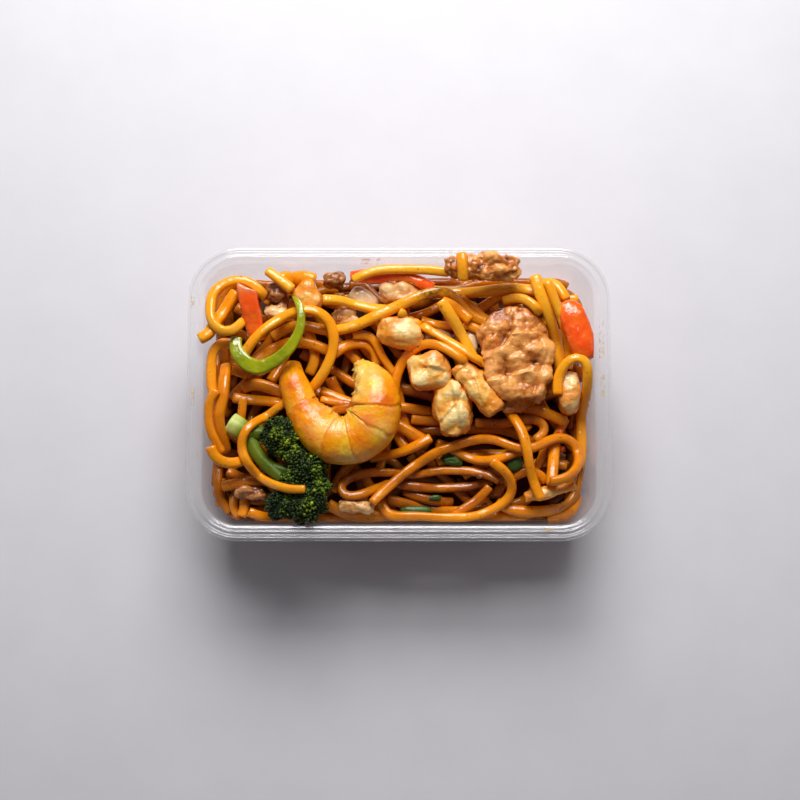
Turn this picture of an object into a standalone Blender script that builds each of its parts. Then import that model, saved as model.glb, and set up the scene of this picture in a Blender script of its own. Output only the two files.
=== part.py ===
"""Noodle takeaway box, seen from above in the photo: a clear tray filled with fried noodles.

Sizes are in millimetres and turn into metres where a mesh is made. X runs along the long
side, Y across it, Z up, with the origin under the middle of the tray's base.
The noodles are one solid: a core that fills the tray, with the noodles that show laid over
it, from the lowest to the highest, and joined by one Boolean union. Meat, prawn and
vegetables rest on the bare core, and every noodle passes over one or stops short of it.
"""
import math

import bmesh
import bpy
from mathutils import Vector, noise
from mathutils.bvhtree import BVHTree

MM = 0.001

# The tray
RIM_HALF_X = 86.0
RIM_HALF_Y = 60.0
RIM_CORNER = 21.0
TRAY_HEIGHT = 50.0
NECK_INSET = 6.6
NECK_DROP = 2.4
BASE_HALF_X = 74.0
BASE_HALF_Y = 48.0
BASE_CORNER = 12.0
BASE_ROUND = 2.4
WALL = 0.9
CORNER_STEPS = 6
# Inset from the outer edge and drop below the top, over the rim from the skirt to the neck
RIM_PROFILE = (
    (0.0, 5.0), (0.0, 1.0), (0.5, 0.15), (1.4, 0.1), (2.1, 1.0), (2.9, 1.1),
    (3.5, 0.2), (4.3, 0.25), (4.9, 1.4), (5.9, 1.7), (NECK_INSET, NECK_DROP),
)

# The heap
GAP = 0.35
CUT_GAP = 0.6
NOODLE_GAP = 0.9
CORE_TOP = 38.0
CORE_RISE = 2.5
CORE_INSETS = (0.0, 3.0, 8.0, 15.0, 23.0, 32.0, 41.0)
STEP = 8.0
FINE_STEP = 2.5
SINK = 1.15
OVER_GAP = 0.75
MAX_SLOPE = 0.75
TOP_SLOPE = 4.0
CELL = 1.5
STRAND_SIDES = 6


def clear_scene():
    for item in list(bpy.data.objects):
        bpy.data.objects.remove(item, do_unlink=True)


def material(name, colour, roughness, alpha=1.0):
    made = bpy.data.materials.new(name)
    made.use_nodes = True
    shader = made.node_tree.nodes["Principled BSDF"]
    shader.inputs["Base Color"].default_value = (*colour, 1.0)
    shader.inputs["Roughness"].default_value = roughness
    shader.inputs["Alpha"].default_value = alpha
    return made


def mesh_object(name, bm, finish):
    """Turn a bmesh in millimetres into an object in metres."""
    bmesh.ops.scale(bm, vec=(MM, MM, MM), verts=bm.verts)
    bmesh.ops.recalc_face_normals(bm, faces=bm.faces)
    mesh = bpy.data.meshes.new(name)
    bm.to_mesh(mesh)
    bm.free()
    made = bpy.data.objects.new(name, mesh)
    bpy.context.collection.objects.link(made)
    if finish is not None:
        mesh.materials.append(finish)
    return made


def loft(rings, cap_start=True, cap_end=True):
    """A skin over closed rings of equal length, with its two ends filled."""
    bm = bmesh.new()
    rows = [[bm.verts.new(p) for p in ring] for ring in rings]
    count = len(rows[0])
    for low, high in zip(rows, rows[1:]):
        for k in range(count):
            n = (k + 1) % count
            bm.faces.new((low[k], low[n], high[n], high[k]))
    if cap_start:
        bm.faces.new(rows[0][::-1])
    if cap_end:
        bm.faces.new(rows[-1])
    return bm


def rounded_ring(half_x, half_y, corner, height):
    """One ring round a rounded rectangle. height is a number, or a function of x and y."""
    points = []
    for side_x, side_y, start in ((1, 1, 0), (-1, 1, 90), (-1, -1, 180), (1, -1, 270)):
        for k in range(CORNER_STEPS + 1):
            angle = math.radians(start + 90.0 * k / CORNER_STEPS)
            x = side_x * (half_x - corner) + corner * math.cos(angle)
            y = side_y * (half_y - corner) + corner * math.sin(angle)
            points.append(Vector((x, y, height(x, y) if callable(height) else height)))
    return points


def wall_size(z, inset):
    """Half sizes and corner radius of the tray's wall at a height, moved in by an inset."""
    share = z / (TRAY_HEIGHT - NECK_DROP)
    neck_corner = RIM_CORNER - NECK_INSET
    half_x = BASE_HALF_X + (RIM_HALF_X - NECK_INSET + WALL - BASE_HALF_X) * share
    half_y = BASE_HALF_Y + (RIM_HALF_Y - NECK_INSET + WALL - BASE_HALF_Y) * share
    corner = BASE_CORNER + (neck_corner - BASE_CORNER) * share
    return half_x - inset, half_y - inset, corner - inset * 0.5


def rim_ring(inset, drop):
    size = (RIM_HALF_X - inset, RIM_HALF_Y - inset, RIM_CORNER - inset)
    return rounded_ring(*size, TRAY_HEIGHT - drop)


def build_tray(finish):
    """One open shell: outer wall, the rim's underside, its top, then the inner wall."""
    rings = [rounded_ring(BASE_HALF_X - BASE_ROUND, BASE_HALF_Y - BASE_ROUND, BASE_CORNER - 1.5, 0.0)]
    for z in (BASE_ROUND * 0.35, BASE_ROUND):
        inset = BASE_ROUND * (0.28 if z < BASE_ROUND else 0.0)
        rings.append(rounded_ring(*wall_size(z, inset), z))
    under = TRAY_HEIGHT - NECK_DROP - 0.6
    rings.append(rounded_ring(*wall_size(under, 0.0), under))
    for inset, drop in ((4.6, 2.5), (3.2, 1.3), (2.0, 2.1), (WALL, 1.5), (WALL, 5.0)):
        rings.append(rim_ring(inset, drop))
    for inset, drop in RIM_PROFILE:
        rings.append(rim_ring(inset, drop))
    for z in (BASE_ROUND, WALL):
        rings.append(rounded_ring(*wall_size(z, WALL if z > WALL else WALL + 1.2), z))
    return mesh_object("tray", loft(rings), finish)


def wall_distance(x, y, z):
    """How far a point stands inside the tray's inner wall."""
    half_x, half_y, corner = wall_size(z, WALL)
    past_x = abs(x) - (half_x - corner)
    past_y = abs(y) - (half_y - corner)
    if past_x > 0 and past_y > 0:
        return corner - math.hypot(past_x, past_y)
    return min(half_x - abs(x), half_y - abs(y))


def bump(x, y, centre_x, centre_y, wide, deep):
    return math.exp(-((x - centre_x) / wide) ** 2 - ((y - centre_y) / deep) ** 2)


def bed(x, y):
    """Height of the bare core: highest in the middle, low along the walls and in one corner."""
    z = CORE_TOP + CORE_RISE * bump(x, y, 0, 8, 60, 38)
    z -= 8.0 * math.exp(-max(wall_distance(x, y, CORE_TOP), 0.0) / 7.0)
    z -= 3.0 * bump(x, y, 22, -38, 26, 9)
    z -= 12.0 * bump(x, y, 74, -47, 10, 10)
    return z


def ground(x, y):
    """Height that a topping keeps above: the bare core, or the rim where it leans over that."""
    if wall_distance(x, y, TRAY_HEIGHT - NECK_DROP) < 1.5:
        return TRAY_HEIGHT
    return bed(x, y)


def core_ring(inset):
    """A ring of the core's top, held in from the wall as that stands at each point's height."""
    half_x, half_y, corner = wall_size(CORE_TOP, WALL + GAP + inset)
    corner = max(min(corner, half_y - 1.0), 3.0)
    guess = rounded_ring(half_x, half_y, corner, bed)
    ring = []
    for k, p in enumerate(guess):
        half_x, half_y, low_corner = wall_size(p.z, WALL + GAP + inset)
        ring.append(rounded_ring(half_x, half_y, min(low_corner, corner) if inset < 15 else corner, p.z)[k])
    return ring


def build_core():
    """The bare core, a shade clear of the floor and of the wall."""
    floor = WALL + GAP
    inset = WALL + GAP
    rings = [rounded_ring(*wall_size(floor, inset + 1.6), floor)]
    rings.append(rounded_ring(*wall_size(BASE_ROUND + 1.0, inset), BASE_ROUND + 1.0))
    rings += [core_ring(step) for step in CORE_INSETS]
    return mesh_object("core", loft(rings), None)


def spline(points, step):
    """A smooth curve through points chosen by hand, in even steps."""
    rows = [Vector(p) for p in points]
    rows = [rows[0] * 2 - rows[1]] + rows + [rows[-1] * 2 - rows[-2]]
    fine = []
    for a, b, c, d in zip(rows, rows[1:], rows[2:], rows[3:]):
        for k in range(12):
            t = k / 12.0
            turn = (b * 3 - a - c * 3 + d) * t ** 3 + (a * 2 - b * 5 + c * 4 - d) * t ** 2
            fine.append((turn + (c - a) * t + b * 2) * 0.5)
    fine.append(rows[-2])
    length = sum((q - p).length for p, q in zip(fine, fine[1:]))
    count = max(2, round(length / step))
    wanted = [length * k / count for k in range(count + 1)]
    out, done, reach = [], 0, 0.0
    for p, q in zip(fine, fine[1:]):
        piece = (q - p).length
        while done < len(wanted) and wanted[done] <= reach + piece + 1e-9:
            out.append(p.lerp(q, (wanted[done] - reach) / max(piece, 1e-9)))
            done += 1
        reach += piece
    if len(out) <= count:
        out.append(fine[-1])
    return out


def tube(points, halves, sides, lift=None):
    """Closed rings along a route. halves holds each ring's half width and half height."""
    rings = []
    for i, p in enumerate(points):
        ahead = points[min(i + 1, len(points) - 1)] - points[max(i - 1, 0)]
        ahead.normalize()
        side = Vector((-ahead.y, ahead.x, 0.0)).normalized()
        up = ahead.cross(side)
        wide, tall = halves[i]
        ring = []
        for k in range(sides):
            angle = 2 * math.pi * k / sides
            q = p + side * (wide * math.cos(angle)) + up * (tall * math.sin(angle))
            if lift is not None:
                q.z = max(q.z, ground(q.x, q.y) + lift)
            ring.append(q)
        rings.append(ring)
    return loft(rings)


def lump(name, finish, place, size, turn=0.0, seed=1, rough=0.16, square=0.75, creases=(), fine=(12, 7)):
    """A cooked piece: a ball pressed square, with relief, lying on the core."""
    around, up = fine
    bm = bmesh.new()
    bmesh.ops.create_uvsphere(bm, u_segments=around, v_segments=up, radius=1.0)
    x0, y0, middle = place
    angle = math.radians(turn)
    for vert in bm.verts:
        d = vert.co.normalized()
        shaped = Vector([math.copysign(abs(c) ** square, c) for c in d])
        shaped *= 1.0 + rough * noise.noise(d * 1.9 + Vector((seed * 7.3, seed * 1.7, 0.0)))
        x = shaped.x * size[0] / 2
        y = shaped.y * size[1] / 2
        z = shaped.z * size[2] / 2
        turned_x = x * math.cos(angle) - y * math.sin(angle)
        turned_y = x * math.sin(angle) + y * math.cos(angle)
        p = Vector((x0 + turned_x, y0 + turned_y, middle + z))
        for start, end, depth in creases:
            a, b = Vector(start), Vector(end)
            along = (b - a).normalized()
            reach = min(max((p.xy - a).dot(along), 0.0), (b - a).length)
            if d.z > 0:
                p.z -= depth * math.exp(-((p.xy - a - along * reach).length / 2.2) ** 2)
        p.z = max(p.z, ground(p.x, p.y) + 0.8 + 0.2 * d.z)
        vert.co = p
    return mesh_object(name, bm, finish)


def ribbon(name, finish, route, wide, tall, sides=8):
    """A cut strip of pepper or meat: a flattened tube, tapering to both cut ends."""
    points = spline(route, 5.0)
    last = len(points) - 1
    halves = []
    for i in range(last + 1):
        t = i / last
        share = 0.82 if i in (0, last) else 1.0
        halves.append(((wide[0] + (wide[1] - wide[0]) * t) / 2 * share, tall / 2 * share))
    return mesh_object(name, tube(points, halves, sides, lift=0.8), finish)


# Prawn: middle line from the tail to the cut head end, with its radius there
PRAWN_LINE = (
    (-43.0, 13.0, 3.0), (-43.2, 6.0, 5.9), (-41.3, 0.0, 6.7), (-38.5, -7.0, 7.4),
    (-34.5, -13.5, 8.6), (-27.5, -18.8, 9.9), (-18.5, -19.0, 10.4), (-11.2, -13.5, 10.8),
    (-9.2, -5.0, 10.4), (-10.0, 2.0, 9.0), (-13.5, 8.0, 6.2), (-16.5, 12.0, 3.4),
)
PRAWN_FLAT = 0.84
PRAWN_PLATES = 7


def build_prawn(finish):
    """The peeled prawn: a curled tube whose plates overlap like shingles."""
    line = spline([(x, y, r) for x, y, r in PRAWN_LINE], 4.4)
    last = len(line) - 1
    points, halves = [], []
    for i, (x, y, radius) in enumerate(line):
        plate = (i / last * PRAWN_PLATES) % 1.0
        radius *= 0.97 + 0.07 * plate
        points.append(Vector((x, y, bed(x, y) + 1.0 + radius * PRAWN_FLAT)))
        halves.append((radius, radius * PRAWN_FLAT))
    return mesh_object("prawn", tube(points, halves, 11, lift=0.8), finish)


def build_broccoli(finish):
    """Stalk, branches and four rounded heads, joined into one solid."""
    parts = []
    for route, wide in (
        (((-69, -12.0, 44.0), (-64, -14.5, 44.0), (-60, -18.0, 44.0)), (7.5, 8.0)),
        (((-63, -16.0, 44.0), (-55, -16.0, 44.5), (-49, -17.5, 45.0)), (6.5, 5.0)),
        (((-62, -16.0, 44.0), (-57, -25.0, 43.5), (-50, -32.0, 43.5), (-44, -38.0, 43.5)), (6.5, 5.5)),
    ):
        points = spline(route, 6.0)
        last = len(points) - 1
        halves = [((wide[0] + (wide[1] - wide[0]) * i / last) / 2,) * 2 for i in range(len(points))]
        parts.append(mesh_object("stalk", tube(points, halves, 8, lift=0.8), None))
    for place, size, seed in (
        ((-47.5, -17.5, 45.5), (17, 18, 15), 3), ((-37.5, -31.5, 46.0), (16, 16, 15), 5),
        ((-47.0, -45.0, 45.0), (15, 14, 15), 8), ((-38.0, -44.0, 46.0), (17, 16, 17), 9),
    ):
        parts.append(lump("head", None, place, size, seed=seed, rough=0.22, square=0.9, fine=(11, 7)))
    return join_solids("broccoli", parts, finish)


def applied(item):
    """The object's mesh with its modifiers applied."""
    graph = bpy.context.evaluated_depsgraph_get()
    mesh = bpy.data.meshes.new_from_object(item.evaluated_get(graph))
    item.modifiers.clear()
    old = item.data
    item.data = mesh
    bpy.data.meshes.remove(old)
    return item


def keep_largest(item):
    """Drop loose scraps and fill any sealed hollow: only the largest skin stays."""
    bm = bmesh.new()
    bm.from_mesh(item.data)
    left = set(bm.verts)
    skins = []
    while left:
        stack = [left.pop()]
        skin = set(stack)
        while stack:
            for edge in stack.pop().link_edges:
                for other in edge.verts:
                    if other not in skin:
                        skin.add(other)
                        stack.append(other)
        left -= skin
        skins.append(skin)
    skins.sort(key=len)
    for skin in skins[:-1]:
        bmesh.ops.delete(bm, geom=list(skin), context="VERTS")
    bm.to_mesh(item.data)
    bm.free()
    return item


def combine(base, others, operation, solver):
    """One Boolean with a collection, applied, with the collection's objects removed."""
    group = bpy.data.collections.new("operands")
    bpy.context.scene.collection.children.link(group)
    for part in others:
        bpy.context.collection.objects.unlink(part)
        group.objects.link(part)
    step = base.modifiers.new("combine", "BOOLEAN")
    step.operation = operation
    step.operand_type = "COLLECTION"
    step.collection = group
    step.solver = solver
    applied(base)
    for part in others:
        bpy.data.objects.remove(part, do_unlink=True)
    bpy.data.collections.remove(group)
    return base


def join_solids(name, parts, finish):
    joined = combine(parts[0], parts[1:], "UNION", "EXACT")
    joined.name = name
    joined.data.name = name
    joined.data.materials.clear()
    if finish is not None:
        joined.data.materials.append(finish)
    return keep_largest(joined)


def swollen(item, gap):
    """A copy of a solid, grown by a gap."""
    bm = bmesh.new()
    bm.from_mesh(item.data)
    bm.normal_update()
    moved = [(v, v.co + v.normal * gap * MM * min(v.calc_shell_factor(), 2.0)) for v in bm.verts]
    for vert, place in moved:
        vert.co = place
    mesh = bpy.data.meshes.new("swollen")
    bm.to_mesh(mesh)
    bm.free()
    copy = bpy.data.objects.new("swollen", mesh)
    bpy.context.collection.objects.link(copy)
    return copy


def near(a, b, gap):
    """Whether the boxes round two solids come within a gap."""
    boxes = []
    for item in (a, b):
        spots = [v.co for v in item.data.vertices]
        boxes.append([(min(p[i] for p in spots), max(p[i] for p in spots)) for i in range(3)])
    return all(p[0] - gap * MM < q[1] and q[0] - gap * MM < p[1] for p, q in zip(*boxes))


def carve(item, neighbours, gap):
    """Cut a solid back to a gap from each of its neighbours. EXACT leaves open edges here."""
    tools = [swollen(other, gap) for other in neighbours if near(item, other, gap)]
    if not tools:
        return item
    finish = item.data.materials[0]
    combine(item, tools, "DIFFERENCE", "MANIFOLD")
    item.data.materials.clear()
    item.data.materials.append(finish)
    return keep_largest(item)


# Noodles from the lowest to the highest: level, width, then the route seen from above.
# A topping of the same level or a lower one lies under the noodle, and the rest stop it.
# From TOP_LEVEL up a noodle bends down steeply past what it lies over.
TOP_LEVEL = 1.9
BROCCOLI_LEVEL = 3.0
NOODLES = (
    (0.0, 3.6, ((-74, -29), (-74.5, -36), (-72.5, -43), (-69, -47))),
    (0.0, 4.0, ((-67.5, -40), (-68, -45), (-65.5, -49))),
    (0.0, 4.2, ((-63, -42), (-62.5, -46), (-64, -49.5))),
    (0.0, 4.0, ((-61, -47.5), (-56, -49.5), (-50, -50.5))),
    (0.0, 4.5, ((-27, -45), (-20, -48.6), (-12, -50.3), (-3, -50.5))),
    (0.0, 4.4, ((35, -48.5), (43, -49), (52, -49))),
    (0.0, 4.5, ((42, -44.5), (46, -46.6), (56, -47), (67, -45.5))),
    (0.0, 4.2, ((-5, -41.7), (2, -43.5), (10, -45.4), (25, -46.6))),
    (0.0, 4.0, ((2, -38.5), (8, -41), (14, -42.5), (20, -42.5))),
    (0.0, 4.4, ((-70, -30.5), (-66, -33), (-60, -33.7), (-55, -33))),
    (0.0, 4.5, ((-38.5, 27.5), (-36, 23.3), (-34.5, 18), (-35, 13), (-37, 9.5))),
    (0.1, 4.0, ((0, -36), (8, -37.2), (18, -37.3), (28, -36.8), (36, -35))),
    (0.1, 4.6, ((-72, -37), (-66, -36), (-60, -34.8), (-54, -35))),
    (0.2, 3.8, ((36, -38), (32.5, -42), (28.5, -45), (21, -49.5))),
    (0.2, 4.2, ((-30, 1.5), (-25, -0.7), (-19.5, -3))),
    (0.2, 4.0, ((-29.7, -8.7), (-26, -6.5), (-20, -5.8))),
    (0.2, 4.4, ((0, -4.6), (6, -5.3), (14, -6))),
    (0.2, 4.8, ((-3, -11), (3, -14), (7.5, -16.8), (10.8, -18.6))),
    (0.2, 4.0, ((-10, -25), (-4, -24.3), (1, -23.2), (6, -21.3), (11, -18.5))),
    (0.2, 4.0, ((65, 38), (69, 39.5), (74, 40))),
    (0.2, 4.5, ((45, 40), (51, 41), (57, 40.5), (62, 41.5))),
    (0.2, 4.0, ((45, -34.5), (49, -31.7), (52.5, -30.5), (56.5, -31.5), (60, -35))),
    (0.3, 4.2, ((65, 26.5), (66, 21), (66, 15), (65.3, 9))),
    (0.3, 5.0, ((-64.5, 3.5), (-59.5, 5.5), (-54.5, 4), (-49.5, 1.5))),
    (0.3, 4.4, ((-68, -0.5), (-62, -1.3), (-55, -2), (-48, -3.5))),
    (0.3, 4.0, ((-71.5, 12), (-67.5, 10.8), (-63, 9))),
    (0.3, 4.5, ((63.5, -21), (62.8, -27), (62.2, -32), (61.5, -37))),
    (0.4, 4.8, ((-66.5, 42), (-68.5, 39), (-71, 34.5), (-74, 30), (-77.5, 25.5), (-81, 21.5))),
    (0.4, 4.3, ((-67, 20.5), (-71.5, 21.5), (-75, 19.3), (-77, 15), (-77.3, 9), (-76.3, 3), (-74.5, -2))),
    (0.4, 4.8, ((-70.5, 11), (-71, 5), (-71.3, -2), (-73, -9), (-72.5, -15), (-70.5, -21.5))),
    (0.4, 4.0, ((-73.5, 0.5), (-76.8, -3.5), (-78, -9), (-76.8, -14.5), (-74.3, -19.5), (-71.8, -24))),
    (0.4, 4.4, ((-76, -22), (-74.5, -26.5), (-70, -28.7), (-65, -28.3), (-61, -26))),
    (0.4, 4.5, ((-60, 12.5), (-55.5, 17), (-50, 20.8), (-44, 22.3), (-37, 21.5), (-30, 19.3))),
    (0.4, 4.5, ((-25, 18.3), (-21.5, 20.8), (-17, 22), (-12.5, 21.3), (-9.7, 18.5), (-9, 14.5))),
    (0.4, 5.0, ((14, 44.3), (22, 43.3), (30, 43), (38, 43.2), (45, 43.8), (52, 43), (57.5, 42))),
    (0.4, 4.2, ((-53.5, 50), (-50, 47.2), (-46, 44), (-42, 41))),
    (0.4, 4.0, ((33, -11), (40, -11.3), (47, -10.3), (53.5, -9), (57.8, -9.7), (60.2, -12.5), (56.5, -17.5))),
    (0.5, 4.0, (
        (-55, 39.5), (-58, 43.5), (-62, 46.3), (-67, 46.8), (-72, 45), (-76.5, 41), (-78.4, 36),
        (-77.5, 31), (-74.5, 26.3), (-70.5, 23.8), (-66.5, 25.5), (-63.5, 30))),
    (0.5, 3.9, ((-17, 25), (-12.5, 25), (-9.5, 22), (-7.7, 17.5), (-5, 13), (-2, 9))),
    (0.5, 4.0, (
        (41, -35), (37, -32.5), (30, -30.8), (22, -30.2), (14, -30.8), (6, -32), (-2, -31.4),
        (-10, -31.2), (-17, -32.3), (-22, -34.6), (-24.3, -38), (-22.8, -41), (-19, -41.9),
        (-14.5, -40.6), (-9, -37.8), (-4, -35.5))),
    (0.5, 4.0, ((21, -21.5), (25.5, -24), (30, -26), (35, -27), (40, -26.5), (44.5, -25), (49, -22.7))),
    (0.5, 4.0, ((27, 39), (30, 36), (33, 33.5), (35.5, 32))),
    (0.6, 5.0, ((55.5, 48), (56.5, 43), (58.5, 38), (61, 32), (63.3, 26.5), (64.5, 21))),
    (0.6, 4.0, (
        (60.3, 45.3), (62, 41), (63.5, 37), (65.2, 32.5), (67.5, 27), (69.5, 22), (70, 17), (69, 12))),
    (0.6, 4.0, ((44.5, 39.3), (48.5, 39.4), (52, 38), (55.5, 35), (58, 31.5), (61.7, 25.5))),
    (0.6, 4.4, ((49, -5), (54.5, -5), (58.5, -6.3), (63, -8.3), (68.3, -10.3))),
    (1.1, 4.2, ((-29, 38), (-24, 38), (-20, 37.2), (-14, 35.6), (-9.5, 34.8), (-4, 35))),
    (1.1, 4.0, ((11, 31), (16, 29.2), (20.5, 28.4), (26, 28.6), (30, 27.9), (33.5, 26))),
    (1.2, 4.4, (
        (-50, 26), (-44.5, 28.6), (-38.5, 29), (-33, 27.4), (-28.5, 26.2), (-23, 26.4), (-17.5, 28),
        (-12, 30.3), (-6, 33.2), (0, 35.8), (6, 38.5), (12, 41), (17, 42), (21, 41.3), (24.5, 38),
        (28, 34), (31.5, 31.3), (36, 29.7), (40, 29))),
    (1.2, 4.2, (
        (-63, 16), (-60.5, 19.5), (-57, 23.8), (-52, 28), (-46, 31.7), (-40, 33.7), (-34, 33.4),
        (-29.3, 30.5), (-26.8, 25.5), (-26.4, 20), (-28, 14), (-31, 8), (-35, 3.5))),
    (1.2, 4.2, (
        (64.3, 0), (64, 4), (65.2, 8.5), (67.7, 12), (70.5, 14.2), (73.7, 14.2), (76.5, 11.8),
        (77.5, 7), (77.4, 0), (77, -6), (76.3, -12), (75.8, -18), (75.6, -24), (74.7, -29), (73, -33))),
    (1.3, 5.0, ((24.5, 35.5), (21.3, 37.3), (18, 36.3), (19.5, 33), (22.5, 29), (25.5, 24), (29.5, 15.5))),
    (1.3, 4.0, (
        (39, -28.5), (43, -31.5), (45.6, -34.7), (46.5, -38.3), (45, -41.7), (41, -45), (36, -47.4),
        (31, -49.2), (26, -50.2), (20.5, -50.8), (14, -51), (8, -51), (2, -50.8), (-2.5, -50),
        (-5.5, -47.5), (-7.3, -44.5))),
    (1.4, 4.0, (
        (-10, -43.3), (-6, -39.2), (-1, -34.5), (4, -30.3), (9, -26.8), (14, -24), (19.5, -21.7),
        (25.5, -19.7), (31, -18), (36, -17.9), (41, -19.4), (46, -21.9), (50, -23), (54, -22.5),
        (58, -20.4), (62, -18), (66, -17), (70, -18.3), (73, -22), (73.5, -26.5), (72, -30.5),
        (69, -33.7), (65, -35.5), (61, -36))),
    (1.5, 4.0, ((1, 32.3), (5, 30.3), (10, 27.3), (15.5, 24), (21, 20.5), (26, 17), (30.5, 13.8), (35, 12))),
    (1.6, 4.0, (
        (-1, 3), (-0.5, 8), (1, 13), (4, 17.2), (8, 19.7), (12.5, 20.3), (17, 18.8), (22, 15.7),
        (27, 11.8), (32, 8.2), (37, 3.8), (41, -0.7), (44, -5.2), (46.5, -9.5), (49, -14),
        (51, -19.5), (52, -26), (53.2, -32), (55, -37.5), (57.5, -43))),
    (1.9, 4.0, (
        (-18.3, 46.0), (-13, 48.4), (-6, 49.4), (3, 49.4), (12, 48.6), (20, 46.8), (27, 43.5), (33, 42.5))),
    (3.0, 4.0, (
        (-45.5, -2.5), (-49, -5.2), (-53, -8), (-58.5, -11.7), (-62.5, -16.3), (-63.9, -21.5), (-62, -27.5),
        (-57.5, -32.8), (-51, -37.3), (-44.5, -39.7), (-37.5, -40))),
    (3.1, 4.6, ((26, 56.5), (26.2, 52.6), (26, 46), (26, 43), (26, 39))),
)


def inside_tray(x, y, z, half):
    """Pull a point in until a noodle of this half width clears the wall."""
    half_x, half_y, corner = wall_size(min(z, TRAY_HEIGHT - NECK_DROP), WALL + GAP + 0.25 + half)
    past_x = abs(x) - (half_x - corner)
    past_y = abs(y) - (half_y - corner)
    if past_x > 0 and past_y > 0 and math.hypot(past_x, past_y) > corner:
        share = corner / math.hypot(past_x, past_y)
        past_x *= share
        past_y *= share
        return math.copysign(half_x - corner + past_x, x), math.copysign(half_y - corner + past_y, y)
    return min(max(x, -half_x), half_x), min(max(y, -half_y), half_y)


class Heap:
    """Heights of what already lies in the tray: what noodles fuse to, and what they clear."""

    def __init__(self):
        self.count_x = int(2 * RIM_HALF_X / CELL) + 1
        self.count_y = int(2 * RIM_HALF_Y / CELL) + 1
        self.fused = {}
        self.clear = {}
        for i in range(self.count_x):
            for j in range(self.count_y):
                x, y = i * CELL - RIM_HALF_X, j * CELL - RIM_HALF_Y
                self.fused[i, j] = bed(x, y)
                self.clear[i, j] = -1.0

    def cells(self, x, y, half):
        low_i = math.floor((x - half + RIM_HALF_X) / CELL)
        low_j = math.floor((y - half + RIM_HALF_Y) / CELL)
        reach = math.ceil(2 * half / CELL) + 1
        for i in range(low_i, low_i + reach + 1):
            for j in range(low_j, low_j + reach + 1):
                off = math.hypot(i * CELL - RIM_HALF_X - x, j * CELL - RIM_HALF_Y - y)
                if (i, j) in self.fused and off <= half:
                    yield (i, j), off

    def support(self, x, y, wide, tall):
        """Lowest middle height of a noodle here."""
        z = -10.0
        for cell, off in self.cells(x, y, wide / 2):
            round_side = math.sqrt(max(1.0 - (2 * off / wide) ** 2, 0.0))
            z = max(z, self.fused[cell] + tall / 2 * round_side - SINK)
        for cell, off in self.cells(x, y, wide / 2 + 1.1):
            z = max(z, self.clear[cell] + tall / 2 + OVER_GAP)
        if wall_distance(x, y, TRAY_HEIGHT - NECK_DROP) < wide / 2 - 0.3:
            z = max(z, TRAY_HEIGHT + tall / 2 + OVER_GAP)
        return z

    def add_topping(self, item):
        tree = BVHTree.FromObject(item, bpy.context.evaluated_depsgraph_get())
        for cell in self.clear:
            x, y = cell[0] * CELL - RIM_HALF_X, cell[1] * CELL - RIM_HALF_Y
            hit = tree.ray_cast(Vector((x * MM, y * MM, 1.0)), Vector((0, 0, -1)))[0]
            if hit is not None:
                self.clear[cell] = max(self.clear[cell], hit.z / MM)

    def lay(self, wide, route, slope, step):
        """Lay one noodle over the heap and return its solid."""
        tall = wide * 0.84
        points = spline([(x, y, TRAY_HEIGHT) for x, y in route], step)
        for settle in range(2):
            for p in points:
                if wall_distance(p.x, p.y, TRAY_HEIGHT - NECK_DROP) > -0.5:
                    p.x, p.y = inside_tray(p.x, p.y, p.z - tall / 2, wide / 2)
            middles = [(p + q) / 2 for p, q in zip(points, points[1:])]
            for i, p in enumerate(points):
                spots = [p] + middles[max(i - 1, 0):i + 1]
                p.z = max(self.support(s.x, s.y, wide, tall) for s in spots)
        for rows in (points, points[::-1]):
            for p, q in zip(rows, rows[1:]):
                q.z = max(q.z, p.z - slope * (p.xy - q.xy).length)
        for p in (points[0], points[-1]):
            if not any(self.clear[cell] > bed(p.x, p.y) for cell, off in self.cells(p.x, p.y, wide)):
                p.z -= SINK
        for p, q in zip(points, points[1:]):
            for k in range(6):
                s = p.lerp(q, k / 5.0)
                for cell, off in self.cells(s.x, s.y, wide / 2):
                    round_side = math.sqrt(max(1.0 - (2 * off / wide) ** 2, 0.0))
                    self.fused[cell] = max(self.fused[cell], s.z + tall / 2 * round_side)
        return tube(points, [(wide / 2, tall / 2)] * len(points), STRAND_SIDES)


def build_noodles(toppings, levels, finish):
    """Core and noodles joined by one union, then cut back from the toppings."""
    heap = Heap()
    waiting = sorted(toppings, key=lambda item: levels[item.name])
    parts = [build_core()]
    for level, wide, route in NOODLES:
        while waiting and levels[waiting[0].name] <= level:
            heap.add_topping(waiting.pop(0))
        slope = TOP_SLOPE if level >= TOP_LEVEL else MAX_SLOPE
        step = FINE_STEP if level > BROCCOLI_LEVEL else STEP
        parts.append(mesh_object("noodle", heap.lay(wide, route, slope, step), None))
    noodles = join_solids("noodles", parts, finish)
    return carve(noodles, toppings, NOODLE_GAP)


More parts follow.
